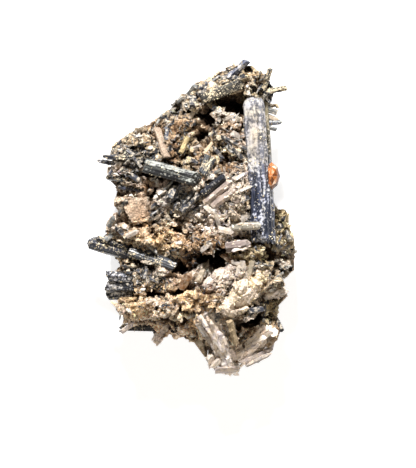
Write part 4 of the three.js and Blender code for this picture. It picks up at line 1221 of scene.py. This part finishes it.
# ---------------------------------------------------------------- small tourmalines
# Black, bluish and ash-filmed prisms a few millimetres long, half sunk in the crust. The plain ones are
# strewn, and the larger ones lie where their places say.
BLACK = (0.026, 0.027, 0.032)
BLUE = (0.046, 0.050, 0.066)
ASH = (0.13, 0.135, 0.135)
FINGER = (0.34, 0.27, 0.20)
WAXY = (0.22, 0.19, 0.12)
OILY = (0.075, 0.07, 0.055)
NEEDLES = (  # from x, y to x, y, width, colour
    (26.2, 40, 27.2, 22, 1.7, WAXY),
    (26.9, 31, 28.6, -5, 1.9, OILY),
    (0.5, 38, 0.5, 41.5, 2.4, BLACK),
    (-0.5, 34, 2.5, 38.5, 1.4, FINGER),
    (-8.5, 26.5, -8.5, 31, 1.4, BLUE),
    (-9, 30.5, -7, 32, 1.4, BLACK),
    (11, 27.5, 19.5, 23, 1.4, BLACK),
    (13, 25, 18, 20, 1.4, BLACK),
    (8, 24, 11, 20, 1.4, BLUE),
    (-3, 1, 3.5, 8, 1.8, BLACK),
    (-1.5, 5.5, 2, 10, 1.4, BLACK),
    (-7.5, 5.5, -5.5, 10, 2.8, BLACK),
    (-3.5, 1.5, -1.5, 3.5, 1.8, BLUE),
    (-18, -19.5, -19, -24, 1.2, BLUE),
    (-15.5, -18.5, -16.3, -22, 1.3, BLUE),
    (-14.5, -22, -11.5, -23, 0.9, BLUE),
    (-13.5, 3, -11, 5.5, 1.4, BLUE),
    (9, -36.5, 9, -32, 1.8, BLACK),
    (20.5, -33, 25, -32.5, 2.1, BLUE),
    (5.5, 44, 2.5, 42.5, 1.8, BLUE),
    (7, 47.5, 3.5, 45, 1.8, BLUE),
    (1.5, 45.5, -0.5, 42.5, 2.1, ASH),
    (10, 49, 6, 46, 1.4, BLACK),
    (13, 49, 11, 48, 1.4, BLACK),
    (17, 48, 15, 48.5, 1.4, BLACK),
    (26.5, 47.5, 27, 49.5, 1.4, BLACK),
    (-22.5, 23, -19, 20.5, 1.4, BLACK),
    (-30.5, 21, -25.5, 20.5, 1.4, BLACK),
    (3, 17, 6, 15.5, 1.0, BLACK),
    (-5, 40, -3, 41.5, 1.8, ASH),
    (-1.5, 42, -0.5, 43.5, 1.4, BLACK),
    (19, 22.5, 20.5, 18.5, 1.4, BLACK),
    (-24, 3.5, -22.5, 5.5, 1.8, BLACK),
    (-25, 1, -23.5, 2.5, 1.8, BLACK),
    (-22.5, -7.5, -25, -5.5, 1.4, BLUE),
    (-27.5, -6.5, -30, -8.5, 1.8, ASH),
    (-29, -3.5, -27, -0.5, 1.8, ASH),
    (-21, 14.5, -18, 12.5, 1.8, BLUE),
    (-25.5, 10.5, -20.5, 9, 1.4, BLACK),
    (-10.5, 15.5, -5, 13.5, 1.4, BLUE),
    (11, 3, 10, 4.5, 1.8, BLACK),
    (4.5, 4.5, 0.5, 1.5, 1.0, BLUE),
    (-21, -24.5, -22.5, -23.5, 1.4, BLACK),
    (5.5, 21.5, 4.5, 19, 1.4, BLACK),
    (7.5, 17.5, 5.5, 13.5, 1.4, ASH),
    (14.5, 22, 12.5, 24.5, 1.0, ASH),
    (32, -3, 30, -4.5, 1.8, BLACK),
    (34.5, -8.5, 33.5, -5.5, 1.8, BLACK),
    (31.5, -11, 30, -10, 1.4, BLACK),
    (32, -40, 30.5, -37, 1.8, BLACK),
    (27, 32, 29.5, 33.5, 1.8, ASH),
    (26.5, 37.5, 30.2, 36.2, 2.2, ASH),
    (27, 35, 30.6, 33.4, 1.8, FINGER),
    (26.8, 31, 29.9, 30.4, 1.6, ASH),
    (0, 19.5, 2, 18.5, 1.8, BLUE),
)
SMALL_COUNT, SMALL_SIZE = 100, (1.0, 2.7)  # strewn prisms, half of their length
STEEPEST = 0.5  # rise of a crystal over three of its widths


def prism_seed(seed, sides, taper):
    """A prism of unit half length and radius, with an uneven section, ending in points or broken across."""
    own = np.random.default_rng(seed)
    shape = bmesh.new()
    bmesh.ops.create_cone(shape, cap_ends=True, segments=sides, radius1=1, radius2=1, depth=2)
    for corner in shape.verts:
        angle = math.atan2(corner.co.y, corner.co.x)
        wide = 1 + 0.22 * math.cos(3 * angle + seed) + own.uniform(-0.08, 0.08)
        corner.co.x *= wide
        corner.co.y *= wide
        corner.co.z += own.uniform(-0.12, 0.12) + 0.08 * corner.co.x
    if taper:
        tops = [face for face in shape.faces
                if len(face.verts) == sides and face.calc_center_median().z > 0.5]
        point = bmesh.ops.poke(shape, faces=tops)["verts"][0]
        point.co.z += taper
    bmesh.ops.recalc_face_normals(shape, faces=shape.faces)
    return seed_of(shape)


SKIN = BVHTree.FromObject(body, bpy.context.evaluated_depsgraph_get())


def surface_height(places):
    """Height of the lump's face at places of the plan."""
    return np.array([height_on(SKIN, x, y, 24) for x, y in places])


def laid_crystals(name, seeds, rows, material, lift=0.15):
    """Crystals from one place to another, resting half sunk on the lump's face. lift is in widths."""
    begin = np.array([row[:2] for row in rows], float)
    end = np.array([row[2:4] for row in rows], float)
    width = np.array([row[4] for row in rows])
    count = len(rows)
    foot, tip = surface_height(begin), surface_height(end)
    rise = np.clip(tip - foot, -STEEPEST * width * 3, STEEPEST * width * 3)
    halfway = surface_height((begin + end) / 2)
    middle = np.maximum((foot + tip) / 2, halfway) + lift * width
    places = np.column_stack([(begin + end) / 2, middle])
    along = np.column_stack([end - begin, rise])
    half = np.linalg.norm(along, axis=1) / 2
    turns = frames_along(along, dice.uniform(0, 2 * math.pi, count))
    scale = np.column_stack([width / 2, width / 2, half])
    tints = np.array([row[5] for row in rows]) * dice.uniform(0.8, 1.2, (count, 1))
    kinds = dice.integers(0, len(seeds), count)
    piece = strewn(name, seeds, kinds, places, turns, scale, tints)
    piece.data.materials.append(material)
    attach(piece, "root")


def small_share(centre, facing):
    """Small prisms lie where the earth is darkest, and hardly in the soft earth."""
    return crust_share(centre, facing) * (0.01 + earth(centre)[1]) ** 1.5 * (1 - 0.9 * in_soft_earth(centre))


def small_tints(places):
    """Half of them black, the others bluish or ashen."""
    pick = dice.random((len(places), 1))
    tints = np.where(pick < 0.5, [BLACK], np.where(pick < 0.8, [BLUE], [ASH]))
    return tints * dice.uniform(0.7, 1.25, (len(places), 1))


STUBS = [prism_seed(k, 6, 0.0) for k in range(4)] + [prism_seed(4 + k, 6, 0.5) for k in range(2)]
SLIM_STUBS = [(shape * [0.2, 0.2, 1], faces) for shape, faces in STUBS]
laid_crystals("placed_tourmalines", STUBS, NEEDLES, splinter_material)
ROUGH = (  # weathered crystals under a crust of earth: from x, y to x, y, width, colour
    (-12, 30.5, -8.5, 20.5, 3.4, (0.38, 0.29, 0.22)),
    (13.3, -36.5, 15.8, -44.5, 3.2, (0.46, 0.35, 0.22)),
    (-1, 27.5, -3.5, 22, 2.2, (0.36, 0.28, 0.15)),
    (4.5, 21.5, 7.5, 25.5, 1.8, (0.50, 0.38, 0.26)),
)


def rough_seed(seed):
    """A weathered prism of unit half length and radius: rings of uneven corners."""
    own = np.random.default_rng(seed)
    shape = bmesh.new()
    bmesh.ops.create_cone(shape, cap_ends=True, segments=8, radius1=0.8, radius2=0.7, depth=2)
    lengthwise = [edge for edge in shape.edges if abs(edge.verts[0].co.z - edge.verts[1].co.z) > 1]
    bmesh.ops.subdivide_edges(shape, edges=lengthwise, cuts=7)
    for corner in shape.verts:
        wide = own.uniform(0.78, 1.22)
        corner.co.x *= wide
        corner.co.y *= wide
        corner.co.z += own.uniform(-0.06, 0.06)
    bmesh.ops.recalc_face_normals(shape, faces=shape.faces)
    return seed_of(shape)


ROUGH_STUBS = [rough_seed(30 + k) for k in range(3)]
laid_crystals("weathered_crystals", ROUGH_STUBS, ROUGH, crumb_material, 0.2)
bits("strewn_tourmalines", SLIM_STUBS, SMALL_COUNT, SMALL_SIZE, 0.8, small_share, small_tints,
     splinter_material)

# ---------------------------------------------------------------- the quartz
# Clear to smoky and milky quartz in six-sided prisms with pyramid ends. Their edges are slightly chipped and
# their faces streaked along their length. They grow among the tourmalines and in the crust.
QUARTZ_IOR = 1.544
GRAIN_VOXEL = 0.3
GRAINS = (3.4, 1.5)  # across the large and the small grains of the granular one
FLAKE = 0.9  # across the small flakes of the crackled ones
STREAK_STRETCH = 0.2
LARGEST_CRUMB = 0.9
OCHRE_CRUMB, STRAW_CRUMB = (0.70, 0.56, 0.34), (0.74, 0.62, 0.44)
CHIP_WIDTH = 0.16  # of the chipped edges
# White of the chipped edges, which also stands in for their highlight: painted highlight.
CHIP_WHITE_AND_HIGHLIGHT = (0.92, 0.89, 0.86, 1)
# Painted reflection: each flat face of a large quartz is made lighter or darker by one of these, at random.
FACET_REFLECTIONS = (0.7, 0.85, 1.0, 1.15)
CRACKLE, CRACKLE_DEPTH = 2.2, 0.28  # across the large flakes, and how far they tilt
CRACKLED = ("foot_quartz", "lower_left_quartz", "right_edge_quartz", "lower_quartz_pair")
FROSTED = (0.90, 0.77, 0.62, 1)
WHOLE_EDGED = ("quartz_blade", "shelf_quartz", "middle_quartz")  # their edges are hardly chipped, and their painted highlight is faint
QUARTZ_CRUMBS = {"foot_quartz": 0.5, "corner_quartz": 0.25, "shelf_quartz": 0.05, "flank_quartz": 0.7}
QUARTZ_KINDS = {  # colour, the share of light that its veils send back, and how far the frosted skin spreads
    "clear_quartz": ((0.94, 0.82, 0.74), 0.7, 0.53),
    "smoky_quartz": ((0.84, 0.70, 0.62), 0.6, 0.53),
    "milky_quartz": ((0.60, 0.55, 0.46), 0.6, 0.40),
    "rosy_quartz": ((0.80, 0.66, 0.53), 0.8, 0.53),
    "brownish_quartz": ((0.50, 0.40, 0.37), 0.5, 0.42),
    "pinkish_quartz": ((0.74, 0.60, 0.53), 0.6, 0.45),
    "pale_quartz": ((1.0, 0.89, 0.80), 0.92, 0.53),
}
QUARTZ_NODES = {
    "foot_quartz": "pale_quartz",
    "corner_quartz": "pale_quartz",
    "lower_left_quartz": "smoky_quartz",
    "lower_quartz_pair": "smoky_quartz",
    "flank_quartz": "rosy_quartz",
    "right_edge_quartz": "clear_quartz",
    "shelf_quartz": "brownish_quartz",
    "quartz_blade": "milky_quartz",
    "middle_quartz": "pinkish_quartz",
}


def quartz_material(name, tint, milky, skin_share):
    """Clear quartz, a little frosted and veiled. milky is the share of light that its veils send back. On the
    large crystals the veils are drawn out along them, each flat face is lighter or darker by a painted
    reflection, and the chipped edges are white, chips with a painted highlight. Without a tint it is the
    quartz of the small crystals, whose colour is stored on each of them."""
    material, nodes, link, shader = new_material(name)
    shader.inputs["Transmission Weight"].default_value = 1 - milky
    shader.inputs["IOR"].default_value = QUARTZ_IOR
    place = add_node(nodes, "TexCoord")
    veil = add_node(nodes, "TexNoise", {"Scale": 1 / (1.8 * MM), "Detail": 4})
    frost = add_node(nodes, "MapRange", {"From Min": 0.35, "From Max": 0.65, "To Min": 0.05, "To Max": 0.24})
    lift = add_node(nodes, "Bump", {"Strength": 0.1, "Distance": 0.15 * MM})
    streak = add_node(nodes, "TexNoise", {"Scale": 1.1 if tint else 0.8 / MM, "Detail": 5, "Roughness": 0.65})
    depth = add_node(nodes, "MapRange", {"From Min": 0.38, "From Max": 0.62, "To Min": 0.6, "To Max": 1.15})
    tinted = add_node(nodes, "VectorMath", operation="SCALE")
    skin = add_node(nodes, "TexNoise", {"Scale": 1 / (1.9 * MM), "Detail": 6, "Roughness": 0.7})
    cover = add_node(nodes, "MapRange", {"From Min": 1 - skin_share, "From Max": 1.13 - skin_share})
    frosted = add_node(nodes, "Mix", data_type="RGBA", values={"B": FROSTED})
    wire(
        link, (place, "Object", skin, "Vector"), (skin, "Fac", cover, "Value"),
        (cover, "Result", frosted, "Factor"), (tinted, "Vector", frosted, "A"))
    if tint:
        tinted.inputs[0].default_value = tint
        lie = add_node(nodes, "Attribute", attribute_name="lie")
        facet_reflection = add_node(nodes, "Attribute", attribute_name="facet_reflection")
        dim = add_node(nodes, "VectorMath", operation="SCALE")
        chipped_and_highlit = add_node(nodes, "Attribute", attribute_name="chipped_and_highlit")
        edged = add_node(nodes, "Mix", data_type="RGBA", values={"B": CHIP_WHITE_AND_HIGHLIGHT})
        wire(
            link, (lie, "Vector", streak, "Vector"), (chipped_and_highlit, "Fac", edged, "Factor"),
            (frosted, "Result", dim, 0), (facet_reflection, "Fac", dim, "Scale"), (dim, "Vector", edged, "A"),
            (edged, "Result", shader, "Base Color"))
    else:
        stored = add_node(nodes, "Attribute", attribute_name="tint")
        wire(
            link, (stored, "Color", tinted, 0), (place, "Object", streak, "Vector"),
            (frosted, "Result", shader, "Base Color"))
    wire(
        link, (streak, "Fac", depth, "Value"), (depth, "Result", tinted, "Scale"),
        (place, "Object", veil, "Vector"), (veil, "Fac", frost, "Value"),
        (frost, "Result", shader, "Roughness"), (veil, "Fac", lift, "Height"),
        (lift, "Normal", shader, "Normal"))
    return material


def flat_faced(mesh):
    """The shape of a crystal's mesh with each of its flat faces in one piece."""
    shape = bmesh.new()
    shape.from_mesh(mesh)
    bmesh.ops.dissolve_limit(shape, angle_limit=math.radians(2), verts=shape.verts, edges=shape.edges)
    return shape


def wear_edges(shape, width):
    """Cuts a shape's edges off by a width, and returns the faces that this leaves there."""
    worn = bmesh.ops.bevel(shape, geom=shape.edges, offset=width * MM, offset_type="OFFSET", segments=1,
                           profile=0.5, affect="EDGES", material=-1, clamp_overlap=True)
    return worn["faces"]


def store_lie(piece):
    """Stores where each corner is along and across its crystal, shortened along, for streaks that run so."""
    places = corners_of(piece.data)
    middle, axes = lengthways(places)
    own = (places - middle) @ axes.T * [STREAK_STRETCH, 1, 1]
    layer = piece.data.attributes.new("lie", "FLOAT_VECTOR", "POINT")
    layer.data.foreach_set("vector", own.astype(np.float32).ravel())


def granular(piece):
    """Makes a crystal into a mass of grown-together grains."""
    evenly_meshed(piece, GRAIN_VOXEL)
    places = corners_of(piece.data)
    large = broken_faces(places / GRAINS[0], GRAINS[0])[0]
    little, seams, _ = broken_faces(places / GRAINS[1], GRAINS[1])
    move = large * 0.45 + little * 0.2 - 0.2 * np.clip(1 - seams * 5, 0, 1)
    move_corners(piece.data, places + normals_of(piece.data) * move[:, None])


def crackled(piece):
    """Breaks a crystal's surface into slightly tilted flakes, each lighter or darker by a painted reflection
    and darker along the seams between them by painted shade.
    """
    evenly_meshed(piece, GRAIN_VOXEL)
    places = corners_of(piece.data)
    rise, seams, lots = broken_faces(places / CRACKLE, CRACKLE)
    little = broken_faces(places / FLAKE, FLAKE)[0]
    move = rise * CRACKLE_DEPTH + little * 0.3 - 0.15 * np.clip(1 - seams * 5, 0, 1)
    move_corners(piece.data, places + normals_of(piece.data) * move[:, None])
    store(piece.data, "facet_reflection", (0.7 + 0.65 * lots[:, 0]) * np.clip(0.75 + seams * 3, 0, 1))


quartz_materials = {kind: quartz_material(kind, *looks) for kind, looks in QUARTZ_KINDS.items()}
for node, kind in QUARTZ_NODES.items():
    piece = copy_of(node, node + "_crystal")
    if kind == "rosy_quartz":
        granular(piece)
        store(piece.data, "facet_reflection", np.ones(len(piece.data.vertices)))
    else:
        shape = flat_faced(piece.data)
        chipped_and_highlit = shape.faces.layers.float.new("chipped_and_highlit")
        facet_reflection = shape.faces.layers.float.new("facet_reflection")
        edges = wear_edges(shape, CHIP_WIDTH)
        # Painted reflection: each flat face gets a brightness of its own.
        for face in shape.faces:
            face[facet_reflection] = dice.choice(FACET_REFLECTIONS)
        # The worn edges are painted white: chips, and a painted highlight.
        whitest = 0.35 if node in WHOLE_EDGED else 1.0
        for face in edges:
            face[chipped_and_highlit] = whitest * dice.uniform(0.3, 1.0)
        shape.to_mesh(piece.data)
        shape.free()
    if node in CRACKLED:
        piece.data.attributes.remove(piece.data.attributes["facet_reflection"])
        crackled(piece)
    store_lie(piece)
    piece.data.materials.append(quartz_materials[kind])
    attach(piece, "root")
    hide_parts(node)
    if kind == "rosy_quartz":
        crumbs_on(piece, node + "_crumbs", QUARTZ_CRUMBS[node], OCHRE_CRUMB, LARGEST_CRUMB)
    else:
        crumbs_on(piece, node + "_crumbs", QUARTZ_CRUMBS.get(node, 0.2), STRAW_CRUMB, LARGEST_CRUMB)

# ---------------------------------------------------------------- small quartz
# Points and broken pieces of quartz a few millimetres long, clear, milky or stained by rust. They sit half
# sunk in the crust, crowd in sugary patches, and grow side by side on the large crystals.
CLEAR = (0.80, 0.72, 0.65)
MILK = (0.68, 0.58, 0.43)
RUSTY = (0.50, 0.31, 0.19)
HAZY = (0.62, 0.54, 0.52)
MILKY = (0.70, 0.64, 0.60)
UMBER = (0.34, 0.23, 0.13)
POINTS = (  # from x, y to x, y, width, colour
    (-0.5, 23, 3, 24, 2.1, CLEAR),
    (14.5, 28.5, 16.5, 27.5, 2.1, CLEAR),
    (11.5, 33.5, 14.5, 34.5, 2.1, CLEAR),
    (8.5, 1, 10, -3.5, 1.4, CLEAR),
    (10.5, -31.5, 12.5, -34.5, 1.8, CLEAR),
    (7, -37, 8.5, -39.5, 1.4, CLEAR),
    (7.5, -53, 10, -50.5, 2.4, CLEAR),
    (2.5, -23, 5.5, -17, 2.4, MILK),
    (-3.5, -25, -0.5, -20.5, 2.8, RUSTY),
    (-22, -7, -19, -5.5, 2.1, CLEAR),
    (17, -1.5, 19.5, 0.5, 2.4, CLEAR),
    (10.5, 6, 13, 6.5, 1.8, CLEAR),
    (10, -4.5, 14, -5.5, 2.1, CLEAR),
    (-11.5, 7.5, -9, 9, 2.1, CLEAR),
    (4, -12, 6, -10.5, 1.8, CLEAR),
    (-15.5, -30.5, -13.5, -29.5, 1.0, CLEAR),
    (16, -22, 17, -18, 2.1, CLEAR),
    (18, -16, 19.5, -25, 2.1, CLEAR),
    (21.5, -16, 19.5, -23.5, 2.1, MILK),
    (13, -31, 17, -24.5, 2.4, MILK),
    (25, -20.5, 23, -24.5, 2.1, MILK),
    (7, 1.5, 5, 3, 1.8, CLEAR),
    (15, 12.5, 18, 14.5, 1.8, CLEAR),
    (17, 8.5, 20.5, 10, 1.8, CLEAR),
    (12, 9, 16, 11, 1.8, CLEAR),
    (11, -13.5, 14.5, -16, 2.1, RUSTY),
    (8, -45, 11.5, -49, 2.8, CLEAR),
    (5, -40, 6.5, -44, 2.4, CLEAR),
    (2.5, -37, 5.5, -41.5, 2.4, CLEAR),
    (13, -53.5, 16, -52.5, 2.1, CLEAR),
    (5.5, -50.5, 7.5, -49.5, 1.8, MILK),
    (2, -43.5, 4, -45.5, 1.8, MILK),
    (14.5, -16, 18.5, -17.5, 1.8, CLEAR),
    (30, -28.5, 33.5, -26.5, 1.8, CLEAR),
    (5, -34, 6.5, -37, 2.1, CLEAR),
    (-1, -19, 2, -18.5, 1.4, RUSTY),
    (17.3, -50.2, 24.5, -46.6, 2.0, CLEAR),
    (18.2, -51.3, 25.6, -47.9, 2.0, HAZY),
    (19.6, -52.2, 26.4, -49.0, 1.8, MILKY),
    (22.5, -50.8, 27.8, -46.2, 2.2, HAZY),
    (24.4, -48.4, 28.6, -43.4, 2.4, UMBER),
    (26.0, -47.6, 29.4, -42.6, 1.8, UMBER),
    (27.2, -45.6, 30.0, -41.2, 1.6, UMBER),
    (24.8, -47.6, 29.4, -41.0, 3.0, MILKY),
    (8.5, -54, 15.5, -53.6, 2.4, HAZY),
    (-24.4, -40.4, -21, -38, 1.8, HAZY),
)
QUARTZ_COUNT, QUARTZ_SIZE = 150, (0.6, 1.9)


def quartz_share(centre, facing):
    """Quartz lies where the earth is palest."""
    return crust_share(centre, facing) * (0.01 + earth(centre)[2]) ** 2


def quartz_tints(places):
    """Most of them clear, some milky, a few rusty."""
    pick = dice.random((len(places), 1))
    tints = np.where(pick < 0.6, [CLEAR], np.where(pick < 0.9, [MILK], [RUSTY]))
    return tints * dice.uniform(0.8, 1.08, (len(places), 1))


QUARTZ_SEEDS = [prism_seed(20 + k, 6, 0.6) for k in range(4)]
SLIM_POINTS = [(shape * [0.42, 0.42, 1], faces) for shape, faces in QUARTZ_SEEDS]
small_quartz = quartz_material("small_quartz", None, 0.45, 0.53)
laid_crystals("placed_quartz", QUARTZ_SEEDS, POINTS, small_quartz)
bits("strewn_quartz", BLOCKY, QUARTZ_COUNT, QUARTZ_SIZE, 0.5, quartz_share, quartz_tints, small_quartz)

SUGAR_PATCHES = (  # x, y, half sizes, turn of where small crystals crowd
    (14, 7, 6, 8, 0),
    (9, -2, 9, 5, -5),
    (12, -22, 6, 4, 20),
    (7, -38, 4, 6, 75),
    (11, -49, 6, 4, 0),
)
SUGAR_COUNT, SUGAR_SIZE = 800, (0.35, 1.2)
PALE_TONES = ((0.82, 0.72, 0.61), (0.74, 0.62, 0.50), (0.68, 0.62, 0.64), (0.46, 0.36, 0.30))


def sugar_share(centre, facing):
    """Sugary crystals crowd in their patches."""
    return crust_share(centre, facing) * in_patches(centre, SUGAR_PATCHES, 1.6, 1)


def pale_tones(places):
    """Pale, rosy and brownish colours."""
    return picked_from(PALE_TONES, len(places)) * dice.uniform(0.85, 1.1, (len(places), 1))


bits("sugary_quartz", SLIM_POINTS, SUGAR_COUNT, SUGAR_SIZE, 0.2, sugar_share, pale_tones, small_quartz)

OVERGROWN = {  # small crystals side by side on a large one: how many, and their half lengths
    "foot_quartz": (210, (0.5, 2.4)),
    "corner_quartz": (28, (0.6, 2.4)),
    "lower_left_quartz": (20, (0.4, 1.4)),
    "lower_quartz_pair": (12, (0.4, 1.2)),
    "shelf_quartz": (12, (0.4, 1.4)),
    "right_edge_quartz": (20, (0.4, 1.4)),
    "middle_quartz": (26, (0.3, 0.9)),
    "quartz_blade": (3, (0.4, 1.0)),
}
OVERGROWTH_SPREAD = 0.16  # how far they stray from the large crystal's own direction
OVERGROWTH_TONES = (
    (0.96, 0.84, 0.74),
    (0.84, 0.72, 0.65),
    (0.76, 0.68, 0.68),
    (1.0, 0.94, 0.90),
    (0.60, 0.46, 0.35),
)
veiled_quartz = quartz_material("veiled_quartz", None, 0.85, 0.53)

for node, (count, span) in OVERGROWN.items():
    mesh = bpy.data.objects[node + "_crystal"].data
    axis = lengthways(corners_of(mesh))[1][0]
    spots, facing = spots_on(mesh, count, lambda centre, facing: np.clip(0.3 + facing[:, 2], 0.02, 1))
    size = sizes_between(span, count, 1.8)
    ways = axis * dice.choice([-1, 1], (count, 1)) + dice.normal(0, OVERGROWTH_SPREAD, (count, 3))
    turns = frames_along(ways, dice.uniform(0, 2 * math.pi, count))
    kept = stray(spots + turns[:, :, 2] * size[:, None])[0] < BIT_OVERHANG
    tones = picked_from(OVERGROWTH_TONES, count) * dice.uniform(0.85, 1.1, (count, 1))
    kinds = dice.integers(0, len(SLIM_POINTS), count)
    piece = strewn(node + "_overgrowth", SLIM_POINTS, kinds[kept], spots[kept], turns[kept],
                   size[kept, None] * np.ones((1, 3)), tones[kept])
    piece.data.materials.append(veiled_quartz)
    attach(piece, "root")

# ---------------------------------------------------------------- the garnet
# One orange-brown garnet with the twenty-four kite faces of its kind, worn at its edges. It grew against the
# great tourmaline. Its facets are painted light and dark: those turned up are often pale, a painted
# highlight, and those turned aside deep brown, a painted shade.
GARNET_WEAR = 0.1  # width of its worn edges
KITE_AREA = 0.2  # of the smallest kite face
KITE_RISE = 0.12  # of each face's middle
GARNET_STRETCH, GARNET_SHIFT = (1.18, 1.2, 1.0), (-0.5, 0, 2.2)
GARNET_IOR = 1.8
GARNET_SHADES_AND_HIGHLIGHTS = (  # from the deepest, shaded facets to the palest, a painted highlight: where each colour stands between the two
    (0.28, (0.06, 0.018, 0.008, 1)),
    (0.58, (0.40, 0.135, 0.035, 1)),
    (0.8, (0.82, 0.60, 0.44, 1)),
)
garnet = copy_of("garnet", "garnet_crystal")
shape = flat_faced(garnet.data)
wear_edges(shape, GARNET_WEAR)
kites = [face for face in shape.faces if face.calc_area() > KITE_AREA * MM ** 2]
for kite in kites:
    outward = kite.normal.copy()
    apex = bmesh.ops.poke(shape, faces=[kite])["verts"][0]
    apex.co += outward * KITE_RISE * MM
shape.to_mesh(garnet.data)
shape.free()
places = corners_of(garnet.data)
middle = places.mean(0)
move_corners(garnet.data, middle + (places - middle) * GARNET_STRETCH + GARNET_SHIFT)
# Painted highlight and shade: facets turned up are at random pale, those turned aside deep brown.
painted_highlight = garnet.data.attributes.new("painted_highlight", "FLOAT", "FACE")
facing_up = np.array([face.normal.z for face in garnet.data.polygons])
highlight_share = np.random.default_rng(5).uniform(0, 1, len(facing_up)) * np.clip(0.3 + facing_up, 0, 1)
painted_highlight.data.foreach_set("value", highlight_share.astype(np.float32))
stone, nodes, link, shader = new_material("orange_garnet")
shader.inputs["Transmission Weight"].default_value = 0.05
shader.inputs["IOR"].default_value = GARNET_IOR
shader.inputs["Specular IOR Level"].default_value = 0.25
shader.inputs["Roughness"].default_value = 0.2
place = add_node(nodes, "TexCoord")
cloud = add_node(nodes, "TexNoise", {"Scale": 1 / (1.2 * MM), "Detail": 3})
ramp = add_node(nodes, "ValToRGB")
ramp.color_ramp.elements.new(GARNET_SHADES_AND_HIGHLIGHTS[2][0])
for element, (place_on_ramp, tone) in zip(ramp.color_ramp.elements, GARNET_SHADES_AND_HIGHLIGHTS):
    element.position = place_on_ramp
    element.color = tone
facet_reflection = add_node(nodes, "Attribute", attribute_name="painted_highlight")
mixed = add_node(nodes, "Mix", {"Factor": 0.65})
wire(
    link, (place, "Object", cloud, "Vector"), (cloud, "Fac", mixed, "A"), (facet_reflection, "Fac", mixed, "B"),
    (mixed, "Result", ramp, "Fac"), (ramp, "Color", shader, "Base Color"))
garnet.data.materials.append(stone)
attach(garnet, "root")
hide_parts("garnet")

# ---------------------------------------------------------------- where it lies
# The lump rests on its broken back on a plain pale floor. One large soft light stands beyond the peak and a
# weak one on the camera's side, and the camera looks straight down.
FLOOR_SIZE = 3  # metres
CAMERA_DISTANCE = 1500
VIEW_HEIGHT = 163.8  # of the plane that the crystals lie in
VIEW_CENTRE = (5.97, -6.28, 26)
SENSOR = 36
KEY_PLACE, KEY_SIZE, KEY_POWER = (-60, 640, 590), 110, 22.0
FILL_PLACE, FILL_SIZE, FILL_POWER = (120, -560, 860), 500, 3.9
SKY, SKY_STRENGTH = (1.0, 0.90, 0.76), 0.1

bpy.ops.mesh.primitive_plane_add(size=FLOOR_SIZE)
floor = bpy.context.object
floor.name = "floor"
paper, _, _, shader = new_material("floor_paper")
shader.inputs["Base Color"].default_value = (0.5, 0.5, 0.5, 1)
shader.inputs["Roughness"].default_value = 0.9
shader.inputs["Emission Color"].default_value = (1, 1, 1, 1)
shader.inputs["Emission Strength"].default_value = 0.8
floor.data.materials.append(paper)


def soft_light(name, place, size, power, colour):
    """A round soft light that shines at the middle of the piece."""
    lamp = bpy.data.lights.new(name, "AREA")
    lamp.color = colour
    lamp.shape = "DISK"
    lamp.size = size * MM
    lamp.energy = power
    holder = bpy.data.objects.new(name, lamp)
    bpy.context.scene.collection.objects.link(holder)
    holder.location = Vector(place) * MM
    holder.rotation_euler = holder.location.to_track_quat("Z", "Y").to_euler()


soft_light("key_light", KEY_PLACE, KEY_SIZE, KEY_POWER, (1.0, 0.99, 0.98))
soft_light("fill_light", FILL_PLACE, FILL_SIZE, FILL_POWER, (1.0, 0.92, 0.80))

world = bpy.data.worlds.new("studio")
world.use_nodes = True
world.node_tree.nodes["Background"].inputs["Color"].default_value = (*SKY, 1)
world.node_tree.nodes["Background"].inputs["Strength"].default_value = SKY_STRENGTH
bpy.context.scene.world = world
bpy.context.scene.view_settings.view_transform = "Standard"

lens = bpy.data.cameras.new("camera")
lens.sensor_width = SENSOR
lens.lens = SENSOR * CAMERA_DISTANCE / VIEW_HEIGHT
lens.clip_start = 0.1
lens.clip_end = 10
camera = bpy.data.objects.new("camera", lens)
camera.location = (VIEW_CENTRE[0] * MM, VIEW_CENTRE[1] * MM, (VIEW_CENTRE[2] + CAMERA_DISTANCE) * MM)
bpy.context.scene.collection.objects.link(camera)
bpy.context.scene.camera = camera
